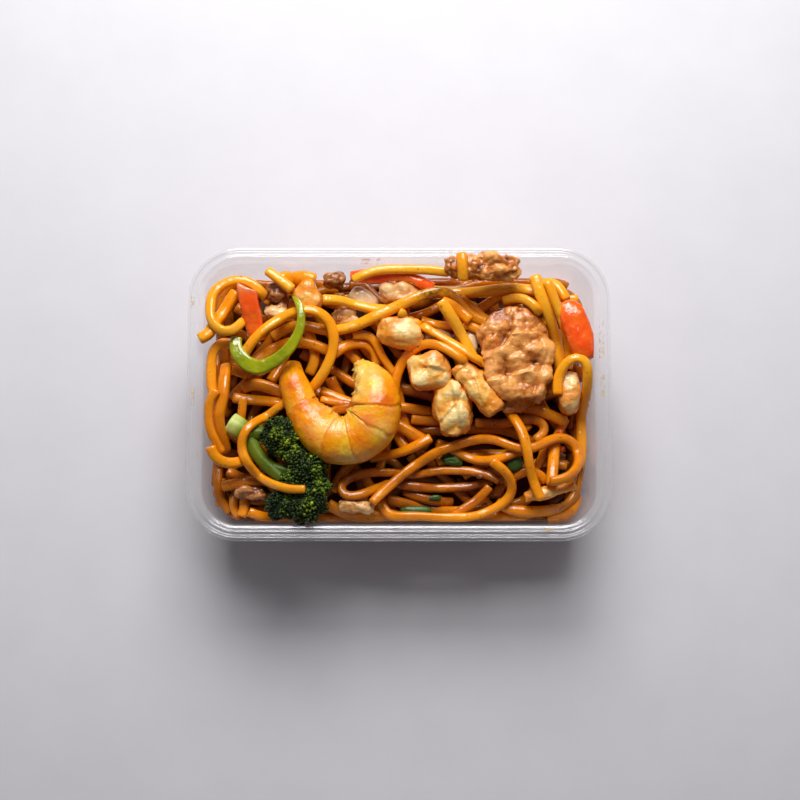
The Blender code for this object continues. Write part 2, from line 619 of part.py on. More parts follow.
def build():
    clear_scene()
    clear = material("clear_plastic", (0.86, 0.87, 0.90), 0.18, 0.35)
    noodle = material("fried_noodle", (0.62, 0.27, 0.03), 0.35)
    shrimp = material("cooked_prawn", (0.90, 0.45, 0.12), 0.3)
    floret = material("broccoli_green", (0.05, 0.13, 0.02), 0.7)
    chicken = material("fried_chicken", (0.78, 0.50, 0.22), 0.45)
    beef = material("cooked_beef", (0.30, 0.14, 0.06), 0.45)
    pork = material("cooked_pork", (0.55, 0.32, 0.16), 0.45)
    red = material("red_pepper_skin", (0.75, 0.03, 0.01), 0.2)
    green = material("green_pepper_skin", (0.22, 0.32, 0.02), 0.25)
    onion = material("soft_onion", (0.75, 0.48, 0.28), 0.35)

    tray = build_tray(clear)
    made = []

    def add(level, item):
        levels[item.name] = level
        made.append(item)

    levels = {}
    add(2.0, ribbon("green_pepper_curl", green, (
        (-43.5, 39.5, 53.0), (-41, 34, 54.0), (-40.3, 28, 54.5), (-43, 21, 54.0),
        (-48, 15, 53.5), (-55, 11.3, 52.0), (-61, 11.8, 50.5), (-66, 16, 49.0),
        (-66.8, 21, 48.0)), (2.2, 6.2), 5.0, 6))
    add(3.5, build_prawn(shrimp))
    add(2.6, build_broccoli(floret))
    creases = (((36, 15), (46, 24), 2.0), ((40.5, 6.4), (57, 9.6), 2.0), ((55, 2), (59, 11), 1.5))
    add(2.0, lump("beef_large", beef, (47.5, 14.5, 46.5), (29, 43, 14), 8, 4, 0.2, 0.75, creases, (18, 11)))
    add(2.0, lump("chicken_upper", chicken, (0.4, 25, 46.5), (19.5, 13.5, 13), -12, 11, 0.18))
    add(2.0, lump("chicken_middle", chicken, (11.5, 9.5, 47.0), (17, 16, 14), 10, 12, 0.18))
    add(2.1, ribbon("chicken_roll", chicken, (
        (23.5, 11, 49.0), (30, 3.5, 49.5), (39, -7.5, 48.5)), (9.0, 10.0), 9.0, 10))
    add(2.0, lump("chicken_lower", chicken, (21.8, -5.5, 45.5), (15, 25, 12), 8, 14, 0.2, fine=(14, 8)))
    add(1.0, lump("chicken_left", chicken, (-38.0, 41.5, 45.5), (13, 17, 11), 18, 15, 0.24))
    add(1.0, lump("chicken_right", chicken, (69.2, 0.5, 43.5), (8.6, 17, 11), 0, 16, 0.16))
    add(0.15, ribbon("chicken_strip", chicken, (
        (51, -42.0, 40.5), (62, -39.0, 41.0), (72, -37.0, 40.5)), (5.0, 4.5), 5.0))
    add(2.0, lump("beef_top", beef, (33.5, 51.8, 56.0), (31, 10.5, 10), 0, 17, 0.16, fine=(16, 8)))
    add(1.0, lump("beef_left_dark", beef, (-50.2, 42.0, 45.0), (9.5, 9.0, 9), 0, 18, 0.2, fine=(10, 7)))
    add(1.0, lump("beef_left_pale", beef, (-50.0, 34.2, 43.5), (10, 7.0, 8), 0, 19, 0.2, fine=(10, 7)))
    add(1.0, lump("beef_small", beef, (-26.8, 47.4, 44.5), (9, 7, 8), 0, 20, 0.2, fine=(10, 6)))
    add(1.0, lump("pork_minced", pork, (-22.0, 31.8, 43.0), (11, 7.0, 7), -8, 22, 0.25, fine=(10, 7)))
    add(1.0, lump("pork_upper", pork, (0.5, 41.6, 44.5), (17.5, 10, 9), -6, 23, 0.18))
    add(0.3, lump("pork_lower", pork, (-18.0, -45.5, 40.5), (15, 5.5, 7), -4, 24, 0.18, fine=(10, 6)))
    add(0.3, lump("beef_lower", beef, (-60.0, -40.0, 40.5), (14, 6.0, 6), -6, 25, 0.2, fine=(10, 6)))
    add(1.15, ribbon("red_pepper_left", red, (
        (-62.3, 43.0, 52.0), (-60.8, 36, 51.0), (-59, 29, 48.5), (-57.5, 22, 45.5)), (8.0, 7.0), 5.0))
    add(1.0, ribbon("red_pepper_top", red, (
        (-20, 48.6, 46.0), (-9, 48.6, 46.5), (3, 47.9, 46.5), (14, 43.6, 46.0)), (6.0, 6.0), 5.0))
    add(1.0, lump("red_pepper_right", red, (71.5, 27.0, 50.0), (9.5, 24, 7.5), 16, 26, 0.08, 0.7,
                  fine=(14, 8)))
    add(1.0, lump("onion_upper", onion, (-14.5, 39.6, 42.5), (13, 9, 6), -40, 27, 0.1, fine=(10, 6)))
    add(1.0, lump("onion_middle", onion, (16.0, 23.3, 43.5), (13, 8.0, 6), -10, 28, 0.1, fine=(10, 6)))
    add(1.0, lump("onion_right", onion, (29.5, 21.5, 43.5), (6, 11, 6), 0, 29, 0.1, fine=(10, 6)))
    add(0.05, lump("green_pepper_lower", green, (7.0, -46.8, 37.0), (14, 4.0, 4), 0, 31, 0.1, fine=(10, 5)))
    add(0.3, lump("green_pepper_right", green, (47.0, -28.0, 40.5), (8, 6.5, 5), 30, 32, 0.1, fine=(10, 5)))

    for i, item in enumerate(made):
        carve(item, made[:i] + [tray], CUT_GAP)
    build_noodles(made, levels, noodle)


build()
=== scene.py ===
"""Looks of the noodle takeaway box: a clear tray of fried noodles, seen from above.

Sizes are in millimetres and turn into metres where a mesh is made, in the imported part's frame.
The tray's and the core's sizes are the part's own. Every noodle is draped, one after the
other, over what already lies in the tray, so that each rests on the ones below it.
"""
import math
import random

import bmesh
import bpy
import numpy as np
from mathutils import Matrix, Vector, noise
from mathutils.bvhtree import BVHTree


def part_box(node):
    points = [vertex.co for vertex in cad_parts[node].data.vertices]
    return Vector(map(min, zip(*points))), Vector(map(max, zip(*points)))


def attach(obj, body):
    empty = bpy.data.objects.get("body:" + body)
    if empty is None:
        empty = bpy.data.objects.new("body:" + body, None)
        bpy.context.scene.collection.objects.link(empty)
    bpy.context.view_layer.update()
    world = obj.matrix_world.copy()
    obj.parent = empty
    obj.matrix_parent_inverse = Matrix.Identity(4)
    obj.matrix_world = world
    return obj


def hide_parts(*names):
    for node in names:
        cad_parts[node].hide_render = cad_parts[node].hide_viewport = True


MM = 0.001
UP = np.array((0.0, 0.0, 1.0))
FULL_TURN = 6.3
GOLDEN_ANGLE = 2.39996

# The tray, as in the part
RIM_HALF_X = 86.0
RIM_HALF_Y = 60.0
RIM_CORNER = 21.0
TRAY_HEIGHT = 50.0
NECK_INSET = 6.6
NECK_DROP = 2.4
NECK_HEIGHT = TRAY_HEIGHT - NECK_DROP
BASE_HALF_X = 74.0
BASE_HALF_Y = 48.0
BASE_CORNER = 12.0
BASE_ROUND = 2.4
WALL = 0.9
CORNER_STEPS = 20
RIM_PROFILE = (
    (0.0, 5.0), (0.0, 1.0), (0.5, 0.15), (1.4, 0.1), (2.1, 1.0), (2.9, 1.1),
    (3.5, 0.2), (4.3, 0.25), (4.9, 1.4), (5.9, 1.7), (NECK_INSET, NECK_DROP),
)

# Profile of the tray's skin from the underside's middle, out and up, over the rim, and back in.
# Rows of the underside and the rim are inset and height or drop, and those of the walls are
# height and inset.
UNDERSIDE = ((16.0, 0.9), (6.5, 0.9), (5.7, 0.6), (5.0, 0.05), (4.0, 0.0), (BASE_ROUND, 0.0))
OUTER_WALL = (
    (0.35, 1.0), (0.9, 0.45), (1.6, 0.12), (BASE_ROUND, 0.0), (14.0, 0.0), (30.0, 0.0),
    (NECK_HEIGHT - 0.6, 0.0),
)
RIM_UNDERSIDE = ((4.9, 2.55), (4.2, 2.0), (3.2, 1.3), (2.4, 1.8), (1.6, 1.5), (WALL, 1.9), (WALL, 5.0))
RIM_EDGE = ((0.45, 5.2), (0.0, 4.8))
INNER_WALL = ((NECK_HEIGHT - 1.0, WALL), (30.0, WALL), (14.0, WALL), (BASE_ROUND + 1.2, WALL))
INNER_FLOOR = ((2.2, WALL + 0.35), (1.5, WALL + 1.2), (1.25, WALL + 2.6), (1.9, 8.0), (1.9, 16.0))

# The heap's bare core, which rises in the middle, drops along the wall and has two hollows.
# Each is a place with its reach. The dark core that shows stays this deep under it.
CORE_TOP = 38.0
CORE_RISE = 2.5
RISE_SPOT = (0, 8, 60, 38)
EDGE_DROP = 8.0
EDGE_REACH = 7.0
BED_HOLLOWS = ((3.0, (22, -38, 26, 9)), (12.0, (74, -47, 10, 10)))
CORE_DEPTH = 9.0

# Noodles: the grid that they are draped on, their gap to the wall, how far they sink into each
# other and stay clear of toppings, their section, which is a slightly square and flat circle,
# and a height far beyond all of them, which stands for nothing there
CELL = 0.5
GAP = 0.35
SINK = 0.35
CLEAR = 0.1
SECTION_POWER = 2.7
FLATNESS = 0.82
NOWHERE = 99.0


def wall_size(z, inset):
    """Half sizes and corner radius of the tray's wall at a height, moved in by an inset."""
    share = z / NECK_HEIGHT
    neck_corner = RIM_CORNER - NECK_INSET
    half_x = BASE_HALF_X + (RIM_HALF_X - NECK_INSET + WALL - BASE_HALF_X) * share
    half_y = BASE_HALF_Y + (RIM_HALF_Y - NECK_INSET + WALL - BASE_HALF_Y) * share
    corner = BASE_CORNER + (neck_corner - BASE_CORNER) * share
    return half_x - inset, half_y - inset, corner - inset * 0.5


def wall_distance(x, y, z):
    """How far points stand inside the tray's inner wall."""
    half_x, half_y, corner = wall_size(z, WALL)
    past_x = np.abs(x) - (half_x - corner)
    past_y = np.abs(y) - (half_y - corner)
    straight = np.minimum(half_x - np.abs(x), half_y - np.abs(y))
    return np.where((past_x > 0) & (past_y > 0), corner - np.hypot(past_x, past_y), straight)


def bump(x, y, centre_x, centre_y, wide, deep):
    """A smooth hill one unit high."""
    return np.exp(-((x - centre_x) / wide) ** 2 - ((y - centre_y) / deep) ** 2)


def bed(x, y):
    """Height of the part's bare core, which the toppings and the upper noodles lie on."""
    z = CORE_TOP + CORE_RISE * bump(x, y, *RISE_SPOT)
    z = z - EDGE_DROP * np.exp(-np.maximum(wall_distance(x, y, CORE_TOP), 0.0) / EDGE_REACH)
    for depth, spot in BED_HOLLOWS:
        z = z - depth * bump(x, y, *spot)
    return z


def held_inside(line, z, half):
    """Pull points in until a noodle of this half width clears the tray's wall."""
    x, y = line[:, 0], line[:, 1]
    half_x, half_y, corner = wall_size(np.minimum(z, NECK_HEIGHT), WALL + GAP + half)
    past_x = np.abs(x) - (half_x - corner)
    past_y = np.abs(y) - (half_y - corner)
    far = np.maximum(np.hypot(past_x, past_y), 1e-6)
    round_off = (past_x > 0) & (past_y > 0) & (far > corner)
    share = np.where(round_off, corner / far, 1.0)
    new_x = np.where(round_off, half_x - corner + past_x * share, np.minimum(np.abs(x), half_x))
    new_y = np.where(round_off, half_y - corner + past_y * share, np.minimum(np.abs(y), half_y))
    return np.column_stack([np.copysign(new_x, x), np.copysign(new_y, y)])


def spline(route, step):
    """A smooth curve through given points, cut into even steps."""
    rows = np.array(route, float)
    rows = np.vstack([2 * rows[0] - rows[1], rows, 2 * rows[-1] - rows[-2]])
    t = np.linspace(0.0, 1.0, 12, endpoint=False)[:, None]
    pieces = []
    for a, b, c, d in zip(rows, rows[1:], rows[2:], rows[3:]):
        turn = (3 * b - a - 3 * c + d) * t ** 3 + (2 * a - 5 * b + 4 * c - d) * t ** 2
        pieces.append(0.5 * (turn + (c - a) * t + 2 * b))
    fine = np.vstack(pieces + [rows[-2:-1]])
    return even_steps(fine, step)


def even_steps(fine, step):
    """The same curve, cut again into even steps."""
    reach = np.concatenate([[0.0], np.cumsum(np.linalg.norm(np.diff(fine, axis=0), axis=1))])
    count = max(4, round(reach[-1] / step)) + 1
    wanted = np.linspace(0.0, reach[-1], count)
    return np.column_stack([np.interp(wanted, reach, fine[:, k]) for k in range(fine.shape[1])])


# Meshes

def new_object(name, mesh, finish, node=None, slot=None):
    """Put a mesh on the part: it rides on the body and may stand for a CAD node."""
    made = bpy.data.objects.new(name, mesh)
    bpy.context.scene.collection.objects.link(made)
    mesh.materials.clear()
    mesh.materials.append(finish)
    mesh.shade_smooth()
    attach(made, "root")
    if node is not None:
        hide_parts(node)
    return made


def mesh_from(name, points, faces, shades=None):
    """A mesh in metres from points in millimetres, with three painted values at each point."""
    mesh = bpy.data.meshes.new(name)
    mesh.from_pydata((np.asarray(points) * MM).tolist(), [], faces)
    mesh.validate()
    if shades is not None:
        paint_points(mesh, shades)
    return mesh


def paint_points(mesh, shades):
    """Store three values at each point, which the materials read."""
    layer = mesh.color_attributes.new("shade", "FLOAT_COLOR", "POINT")
    values = np.ones((len(mesh.vertices), 4))
    values[:, :3] = shades
    layer.data.foreach_set("color", values.ravel())


def ring_faces(rings, sides, first=0):
    """Quads round a tube, with a fan of triangles over both ends."""
    start = np.arange(rings - 1)[:, None] * sides + first
    k = np.arange(sides)[None, :]
    n = (k + 1) % sides
    quads = np.stack([start + k, start + n, start + sides + n, start + sides + k], axis=-1)
    faces = quads.reshape(-1, 4).tolist()
    last = first + (rings - 1) * sides
    middle_start, middle_end = first + rings * sides, first + rings * sides + 1
    for k in range(sides):
        n = (k + 1) % sides
        faces.append([middle_start, first + n, first + k])
        faces.append([middle_end, last + k, last + n])
    return faces


def capped(rings):
    """Points of a tube's rings, followed by the middles of both ends."""
    return np.vstack([rings.reshape(-1, 3), rings[0].mean(axis=0), rings[-1].mean(axis=0)])


def section(sides, power, twist=0.0):
    """Round the edge of a pressed circle: (side, up) pairs of one unit."""
    angle = 2 * np.pi * (np.arange(sides) + 0.5) / sides + twist
    pairs = np.stack([np.cos(angle), np.sin(angle)], axis=-1)
    return np.sign(pairs) * np.abs(pairs) ** (2 / power)


def frames(line, up):
    """Directions along, across and over a line, where up is roughly over it."""
    ahead = np.gradient(line, axis=0)
    ahead /= np.maximum(np.linalg.norm(ahead, axis=1, keepdims=True), 1e-9)
    across = np.cross(up, ahead)
    across /= np.maximum(np.linalg.norm(across, axis=1, keepdims=True), 1e-9)
    return ahead, across, np.cross(ahead, across)


# A cut end is this much narrower, and its rounded edge stands this far back
END_SHARE = 0.8
EDGE_SHARE = 0.97
EDGE_BACK = 0.35


def tube_rings(line, up, wide, tall, sides, power=2.0, twist=0.0):
    """Rings of a tube whose ends are cut off, with a slightly rounded edge there."""
    ahead, across, over = frames(line, up)
    count = len(line)
    wide = np.broadcast_to(wide, (count,)) / 2
    tall = np.broadcast_to(tall, (count,)) / 2
    turns = np.broadcast_to(twist, (count,))
    shape = section(sides, power)
    cos, sin = np.cos(turns)[:, None], np.sin(turns)[:, None]
    wide_way = across * cos + over * sin
    tall_way = over * cos - across * sin
    sides_out = shape[None, :, 0, None] * (wide_way * wide[:, None])[:, None, :]
    ups_out = shape[None, :, 1, None] * (tall_way * tall[:, None])[:, None, :]
    out = sides_out + ups_out
    rings = line[:, None, :] + out
    first = line[0] + out[0] * END_SHARE
    first_edge = line[0] + ahead[0] * EDGE_BACK + out[0] * EDGE_SHARE
    last = line[-1] + out[-1] * END_SHARE
    last_edge = line[-1] - ahead[-1] * EDGE_BACK + out[-1] * EDGE_SHARE
    return np.concatenate([first[None], first_edge[None], rings[1:-1], last_edge[None], last[None]])


class Paint:
    """Adds shader nodes to a material and links them."""

    def __init__(self, name):
        self.material = bpy.data.materials.new(name)
        self.material.use_nodes = True
        self.tree = self.material.node_tree
        self.shader = self.tree.nodes["Principled BSDF"]
        self.place = self.tree.nodes.new("ShaderNodeTexCoord").outputs["Object"]

    def feed(self, socket, value):
        """Link a node's output to a socket, or set a constant on it."""
        if isinstance(value, bpy.types.NodeSocket):
            self.tree.links.new(value, socket)
        else:
            socket.default_value = value

    def set(self, **values):
        """Set the shader's own sockets. An underscore stands for a space."""
        for key, value in values.items():
            self.feed(self.shader.inputs[key.replace("_", " ")], value)
        return self

    def scaled(self, stretch):
        """The object's own coordinates, stretched along each axis."""
        node = self.tree.nodes.new("ShaderNodeMapping")
        self.feed(node.inputs["Vector"], self.place)
        node.inputs["Scale"].default_value = stretch
        return node.outputs["Vector"]

    def noise(self, size, detail=3.0, rough=0.55, stretch=(1, 1, 1)):
        """Noise whose blobs are about this many millimetres across."""
        node = self.tree.nodes.new("ShaderNodeTexNoise")
        self.feed(node.inputs["Vector"], self.scaled(stretch))
        node.inputs["Scale"].default_value = 0.5 / (size * MM)
        node.inputs["Detail"].default_value = detail
        node.inputs["Roughness"].default_value = rough
        return node.outputs["Fac"]

    def shade(self):
        """The three painted values at each point."""
        node = self.tree.nodes.new("ShaderNodeAttribute")
        node.attribute_name = "shade"
        split = self.tree.nodes.new("ShaderNodeSeparateColor")
        self.feed(split.inputs["Color"], node.outputs["Color"])
        return [split.outputs[k] for k in ("Red", "Green", "Blue")]

    def ramp(self, value, *stops):
        """Colours by value. A stop is its place and its colour, or its place and one number."""
        node = self.tree.nodes.new("ShaderNodeValToRGB")
        self.feed(node.inputs["Fac"], value)
        points = node.color_ramp.elements
        while len(points) < len(stops):
            points.new(0.5)
        for point, (where, colour) in zip(points, stops):
            point.position = where
            point.color = (*colour, 1.0) if isinstance(colour, tuple) else (colour,) * 3 + (1.0,)
        return node.outputs["Color"]

    def mix(self, share, a, b):
        """Colour a where the share is 0, and b where it is 1."""
        node = self.tree.nodes.new("ShaderNodeMix")
        node.data_type = "RGBA"
        self.feed(node.inputs[0], share)
        for socket, value in ((node.inputs[6], a), (node.inputs[7], b)):
            self.feed(socket, (*value, 1.0) if isinstance(value, tuple) else value)
        return node.outputs[2]

    def sum(self, a, b, operation="ADD"):
        """Two values added, or joined by another operation."""
        node = self.tree.nodes.new("ShaderNodeMath")
        node.operation = operation
        self.feed(node.inputs[0], a)
        self.feed(node.inputs[1], b)
        return node.outputs[0]

    def times(self, a, b):
        """Two values multiplied."""
        return self.sum(a, b, "MULTIPLY")

    def vary(self, low, high, *grain, span=(0.3, 0.7)):
        """A value that drifts from low to high with noise of this grain."""
        node = self.tree.nodes.new("ShaderNodeMapRange")
        self.feed(node.inputs["Value"], self.noise(*grain))
        node.inputs["From Min"].default_value, node.inputs["From Max"].default_value = span
        node.inputs["To Min"].default_value = low
        node.inputs["To Max"].default_value = high
        return node.outputs["Result"]

    def specks(self, low, high, *grain):
        """Black with white specks, where noise of this grain passes from low to high."""
        return self.ramp(self.noise(*grain), (low, 0.0), (high, 1.0))

    def glow(self, weight, radius, depth):
        """Light that spreads under the surface, this many millimetres deep."""
        return self.set(
            Subsurface_Weight=weight, Subsurface_Radius=radius, Subsurface_Scale=depth * MM)

    def wet(self, weight, rough):
        """A thin film of oil or water."""
        return self.set(Coat_Weight=weight, Coat_Roughness=rough)

    def bump(self, height, depth):
        """Relief this many millimetres deep."""
        node = self.tree.nodes.new("ShaderNodeBump")
        self.feed(node.inputs["Height"], height)
        node.inputs["Distance"].default_value = depth * MM
        self.feed(self.shader.inputs["Normal"], node.outputs["Normal"])
        return self


# Materials

def noodle_finish():
    """Golden to brown by painted tone, which holds painted light towards +y and painted shade on each
    noodle's sides and underside, darker with depth as painted shade, with scorched spots and dark specks.
    """
    paint = Paint("fried_noodle_look")
    depth, tone, scorch = paint.shade()
    value = paint.sum(tone, paint.vary(-0.14, 0.14, 7.0))
    value = paint.sum(value, paint.vary(-0.05, 0.05, 1.3))
    colour = paint.ramp(
        value, (0.0, (1.0, 0.45, 0.016)), (0.25, (0.98, 0.34, 0.004)), (0.5, (0.78, 0.230, 0.002)),
        (0.75, (0.36, 0.080, 0.001)), (1.0, (0.12, 0.02, 0.0006)))
    colour = paint.mix(paint.times(paint.specks(0.70, 0.76, 0.9, 1.0), 0.55), colour, (0.20, 0.045, 0.006))
    burnt = paint.times(scorch, paint.ramp(paint.noise(1.2, 4.0), (0.28, 0.15), (0.62, 1.0)))
    colour = paint.mix(burnt, colour, (0.09, 0.02, 0.004))
    # Painted shade: darker the deeper a noodle lies
    colour = paint.mix(depth, colour, (0.07, 0.012, 0.0006))
    paint.set(Base_Color=colour, Roughness=paint.vary(0.11, 0.28, 4.0), Specular_IOR_Level=0.58)
    paint.glow(0.15, (1.0, 0.4, 0.06), 1.5)
    relief = paint.sum(paint.noise(0.8), paint.times(paint.noise(3.5, 2.0), 1.3))
    return paint.bump(relief, 0.19).material


def core_finish():
    """Dark brown sauce between the lower noodles, painted near black as the shade deep in the heap."""
    paint = Paint("sauce_and_shade_core_look")
    patch = paint.noise(5.0, 4.0)
    # Painted shade: the sauce colour is near black
    colour = paint.ramp(patch, (0.3, (0.03, 0.005, 0.0003)), (0.7, (0.11, 0.022, 0.001)))
    paint.set(Base_Color=colour, Roughness=0.5, Specular_IOR_Level=0.12)
    return paint.bump(paint.noise(2.5, 4.0), 0.8).material


def tray_finish():
    """Clear, slightly milky plastic. Most of the light goes through its skin."""
    paint = Paint("clear_plastic_look")
    haze = paint.noise(30.0, 2.0)
    paint.set(Base_Color=paint.ramp(haze, (0.3, (0.82, 0.82, 0.86)), (0.7, (0.90, 0.90, 0.93))))
    paint.set(Alpha=0.18, Specular_IOR_Level=0.7, Coat_Weight=1.0, Coat_IOR=3.4, Coat_Roughness=0.04)
    paint.set(Roughness=paint.vary(0.08, 0.13, 6.0, 2.0))
    return paint.bump(paint.noise(16.0, 2.0), 0.02).material


def prawn_finish():
    """Cream flesh to deep orange, with painted highlights among the cream, and red-orange lines where the
    bands meet.
    """
    paint = Paint("cooked_prawn_look")
    orange, white, line = paint.shade()
    value = paint.sum(orange, paint.vary(-0.22, 0.22, 3.5, 4.0))
    colour = paint.ramp(
        value, (0.0, (1.0, 0.60, 0.03)), (0.26, (1.0, 0.43, 0.004)), (0.56, (1.0, 0.33, 0.001)),
        (1.0, (0.78, 0.16, 0.001)))
    # Cream flesh, with a few painted highlights
    colour = paint.mix(white, colour, (1.0, 0.74, 0.22))
    colour = paint.mix(line, colour, (0.70, 0.13, 0.004))
    colour = paint.mix(paint.times(paint.specks(0.66, 0.74, 0.8, 2.0), 0.5), colour, (0.62, 0.10, 0.01))
    paint.set(Base_Color=colour, Roughness=paint.vary(0.14, 0.34, 2.0), Specular_IOR_Level=0.4)
    paint.glow(0.40, (1.0, 0.45, 0.12), 3.0)
    paint.wet(0.08, 0.08)
    return paint.bump(paint.sum(paint.noise(1.2, 4.0), paint.noise(3.0, 2.0)), 0.35).material


def meat_finish(name, dark, middle, light, sear, sear_share, gloss):
    """Cooked meat: dark creases and light ridges, which are painted shade and painted light, seared patches,
    and fine fibres.
    """
    paint = Paint(name)
    relief, brown = paint.shade()[:2]
    value = paint.sum(relief, paint.vary(-0.28, 0.28, 2.2, 5.0, 0.65))
    # Painted shade in the creases and painted light on the ridges
    colour = paint.ramp(value, (0.12, dark), (0.45, middle), (0.9, light))
    patch = paint.sum(brown, paint.vary(-0.35, 0.35, 4.5, 4.0, 0.6, span=(0.35, 0.65)))
    patch = paint.ramp(patch, (1.0 - sear_share, 0.0), (1.25 - sear_share, 1.0))
    colour = paint.mix(paint.times(patch, 0.85), colour, sear)
    colour = paint.mix(paint.times(paint.specks(0.70, 0.77, 0.7, 1.5), 0.5), colour, dark)
    paint.set(Base_Color=colour, Roughness=paint.vary(gloss, gloss + 0.2, 1.8))
    paint.glow(0.12, (1.0, 0.5, 0.3), 1.5)
    paint.wet(0.3, 0.15)
    fibre = paint.noise(0.7, 4.0, 0.65, stretch=(0.35, 1.0, 1.0))
    return paint.bump(paint.sum(fibre, paint.noise(1.8, 4.0)), 0.36).material


def pepper_finish(name, skin_low, skin_high, flesh, coat):
    """Shiny pepper skin, with paler flesh where it is cut, and darker patches and painted shade on a strip's
    lower side.
    """
    paint = Paint(name)
    cut, dim_and_shade = paint.shade()[:2]
    skin = paint.ramp(paint.noise(5.0, 3.0), (0.3, skin_low), (0.7, skin_high))
    wet = paint.mix(paint.ramp(paint.noise(0.8, 2.0), (0.3, 0.0), (0.7, 0.25)), flesh, skin_high)
    colour = paint.mix(cut, skin, wet)
    colour = paint.mix(dim_and_shade, colour, tuple(0.4 * value for value in skin_low))
    rough = 0.34 - 0.44 * coat
    paint.set(Base_Color=colour, Roughness=paint.vary(rough, rough + 0.14, 2.5))
    paint.wet(coat, 0.06)
    paint.glow(0.12, (1.0, 0.3, 0.1), 1.5)
    return paint.bump(paint.sum(paint.noise(1.3), paint.noise(4.0, 2.0)), 0.4).material


def onion_finish():
    """Soft onion, half clear, with fine lines along its layers."""
    paint = Paint("soft_onion_look")
    line = paint.noise(0.6, 2.0, stretch=(1.0, 0.15, 1.0))
    colour = paint.ramp(
        paint.noise(4.0, 3.0), (0.3, (0.50, 0.24, 0.07)), (0.5, (0.72, 0.47, 0.22)),
        (0.75, (0.84, 0.66, 0.42)))
    colour = paint.mix(paint.ramp(line, (0.4, 0.0), (0.7, 0.3)), colour, (0.86, 0.74, 0.55))
    paint.set(Base_Color=colour, Roughness=paint.vary(0.2, 0.35, 2.0))
    paint.glow(0.4, (1.0, 0.7, 0.4), 2.0)
    paint.wet(0.3, 0.12)
    return paint.bump(line, 0.12).material


def broccoli_finish():
    """Buds from near black, dark green painted darker as shade, to yellow-green tips, and a pale stalk, by
    painted values.
    """
    paint = Paint("broccoli_green_look")
    tip, stalk, pale = paint.shade()
    bud = paint.ramp(
        tip, (0.0, (0.003, 0.010, 0.0005)), (0.4, (0.022, 0.052, 0.001)), (0.7, (0.12, 0.19, 0.003)),
        (1.0, (0.48, 0.52, 0.015)))
    stem = paint.ramp(
        pale, (0.0, (0.04, 0.075, 0.002)), (0.5, (0.20, 0.25, 0.008)), (1.0, (0.76, 0.86, 0.24)))
    stem = paint.mix(paint.ramp(paint.noise(1.5), (0.35, 0.0), (0.7, 0.35)), stem, (0.10, 0.20, 0.02))
    paint.set(Base_Color=paint.mix(stalk, bud, stem), Specular_IOR_Level=0.35)
    paint.set(Roughness=paint.vary(0.3, 0.5, 1.5))
    return paint.bump(paint.noise(0.7), 0.15).material


def smear_finish():
    """A thin dried smear of yellow sauce."""
    paint = Paint("sauce_smear_look")
    patch = paint.noise(0.9, 4.0)
    paint.set(Base_Color=paint.ramp(patch, (0.3, (0.60, 0.36, 0.10)), (0.7, (0.85, 0.66, 0.30))))
    paint.set(Alpha=paint.ramp(paint.noise(1.4, 4.0), (0.42, 0.0), (0.62, 0.55)), Roughness=0.25)
    return paint.bump(patch, 0.1).material


def floor_finish():
    """A plain pale table top."""
    paint = Paint("floor_look")
    grain = paint.noise(14.0, 3.0)
    paint.set(Base_Color=paint.ramp(grain, (0.3, (0.745, 0.736, 0.772)), (0.7, (0.772, 0.763, 0.80))))
    paint.set(Roughness=0.7)
    return paint.bump(grain, 0.1).material


# The tray

def corner_turns():
    """The signs of each corner in turn, with the directions round it."""
    for side_x, side_y, start in ((1, 1, 0), (-1, 1, 90), (-1, -1, 180), (1, -1, 270)):
        for k in range(CORNER_STEPS + 1):
            angle = math.radians(start + 90.0 * k / CORNER_STEPS)
            yield side_x, side_y, math.cos(angle), math.sin(angle)


def rounded_ring(half_x, half_y, corner, z):
    """Points round a rectangle with round corners."""
    straight_x, straight_y = half_x - corner, half_y - corner
    return [
        (side_x * straight_x + corner * cos, side_y * straight_y + corner * sin, z)
        for side_x, side_y, cos, sin in corner_turns()]


def rim_ring(inset, drop):
    """A ring this far inside the rim's edge and this far under its top."""
    return rounded_ring(RIM_HALF_X - inset, RIM_HALF_Y - inset, RIM_CORNER - inset, TRAY_HEIGHT - drop)


def build_tray(finish):
    """The tray's one skin: underside with a foot ring, wall, rolled rim, and the inside."""
    rings = []
    for inset, z in UNDERSIDE:
        corner = max(BASE_CORNER - inset * 0.6, 3.0)
        rings.append(rounded_ring(BASE_HALF_X - inset, BASE_HALF_Y - inset, corner, z))
    for z, inset in OUTER_WALL:
        rings.append(rounded_ring(*wall_size(z, inset), z))
    for inset, drop in RIM_UNDERSIDE + RIM_EDGE:
        rings.append(rim_ring(inset, drop))
    fine = even_steps(spline(RIM_PROFILE, 0.3)[2:], 0.32)
    for inset, drop in fine[fine[:, 1] < RIM_EDGE[-1][1] - 0.2]:
        rings.append(rim_ring(max(inset, 0.0), max(drop, 0.0)))
    for z, inset in INNER_WALL:
        rings.append(rounded_ring(*wall_size(z, inset), z))
    for z, inset in INNER_FLOOR:
        rings.append(rounded_ring(*wall_size(min(z, BASE_ROUND), inset), z))
    rings = np.array(rings)
    mesh = mesh_from("tray_shell", capped(rings), ring_faces(len(rings), rings.shape[1]))
    return new_object("tray_shell", mesh, finish, "tray", "clear_plastic")


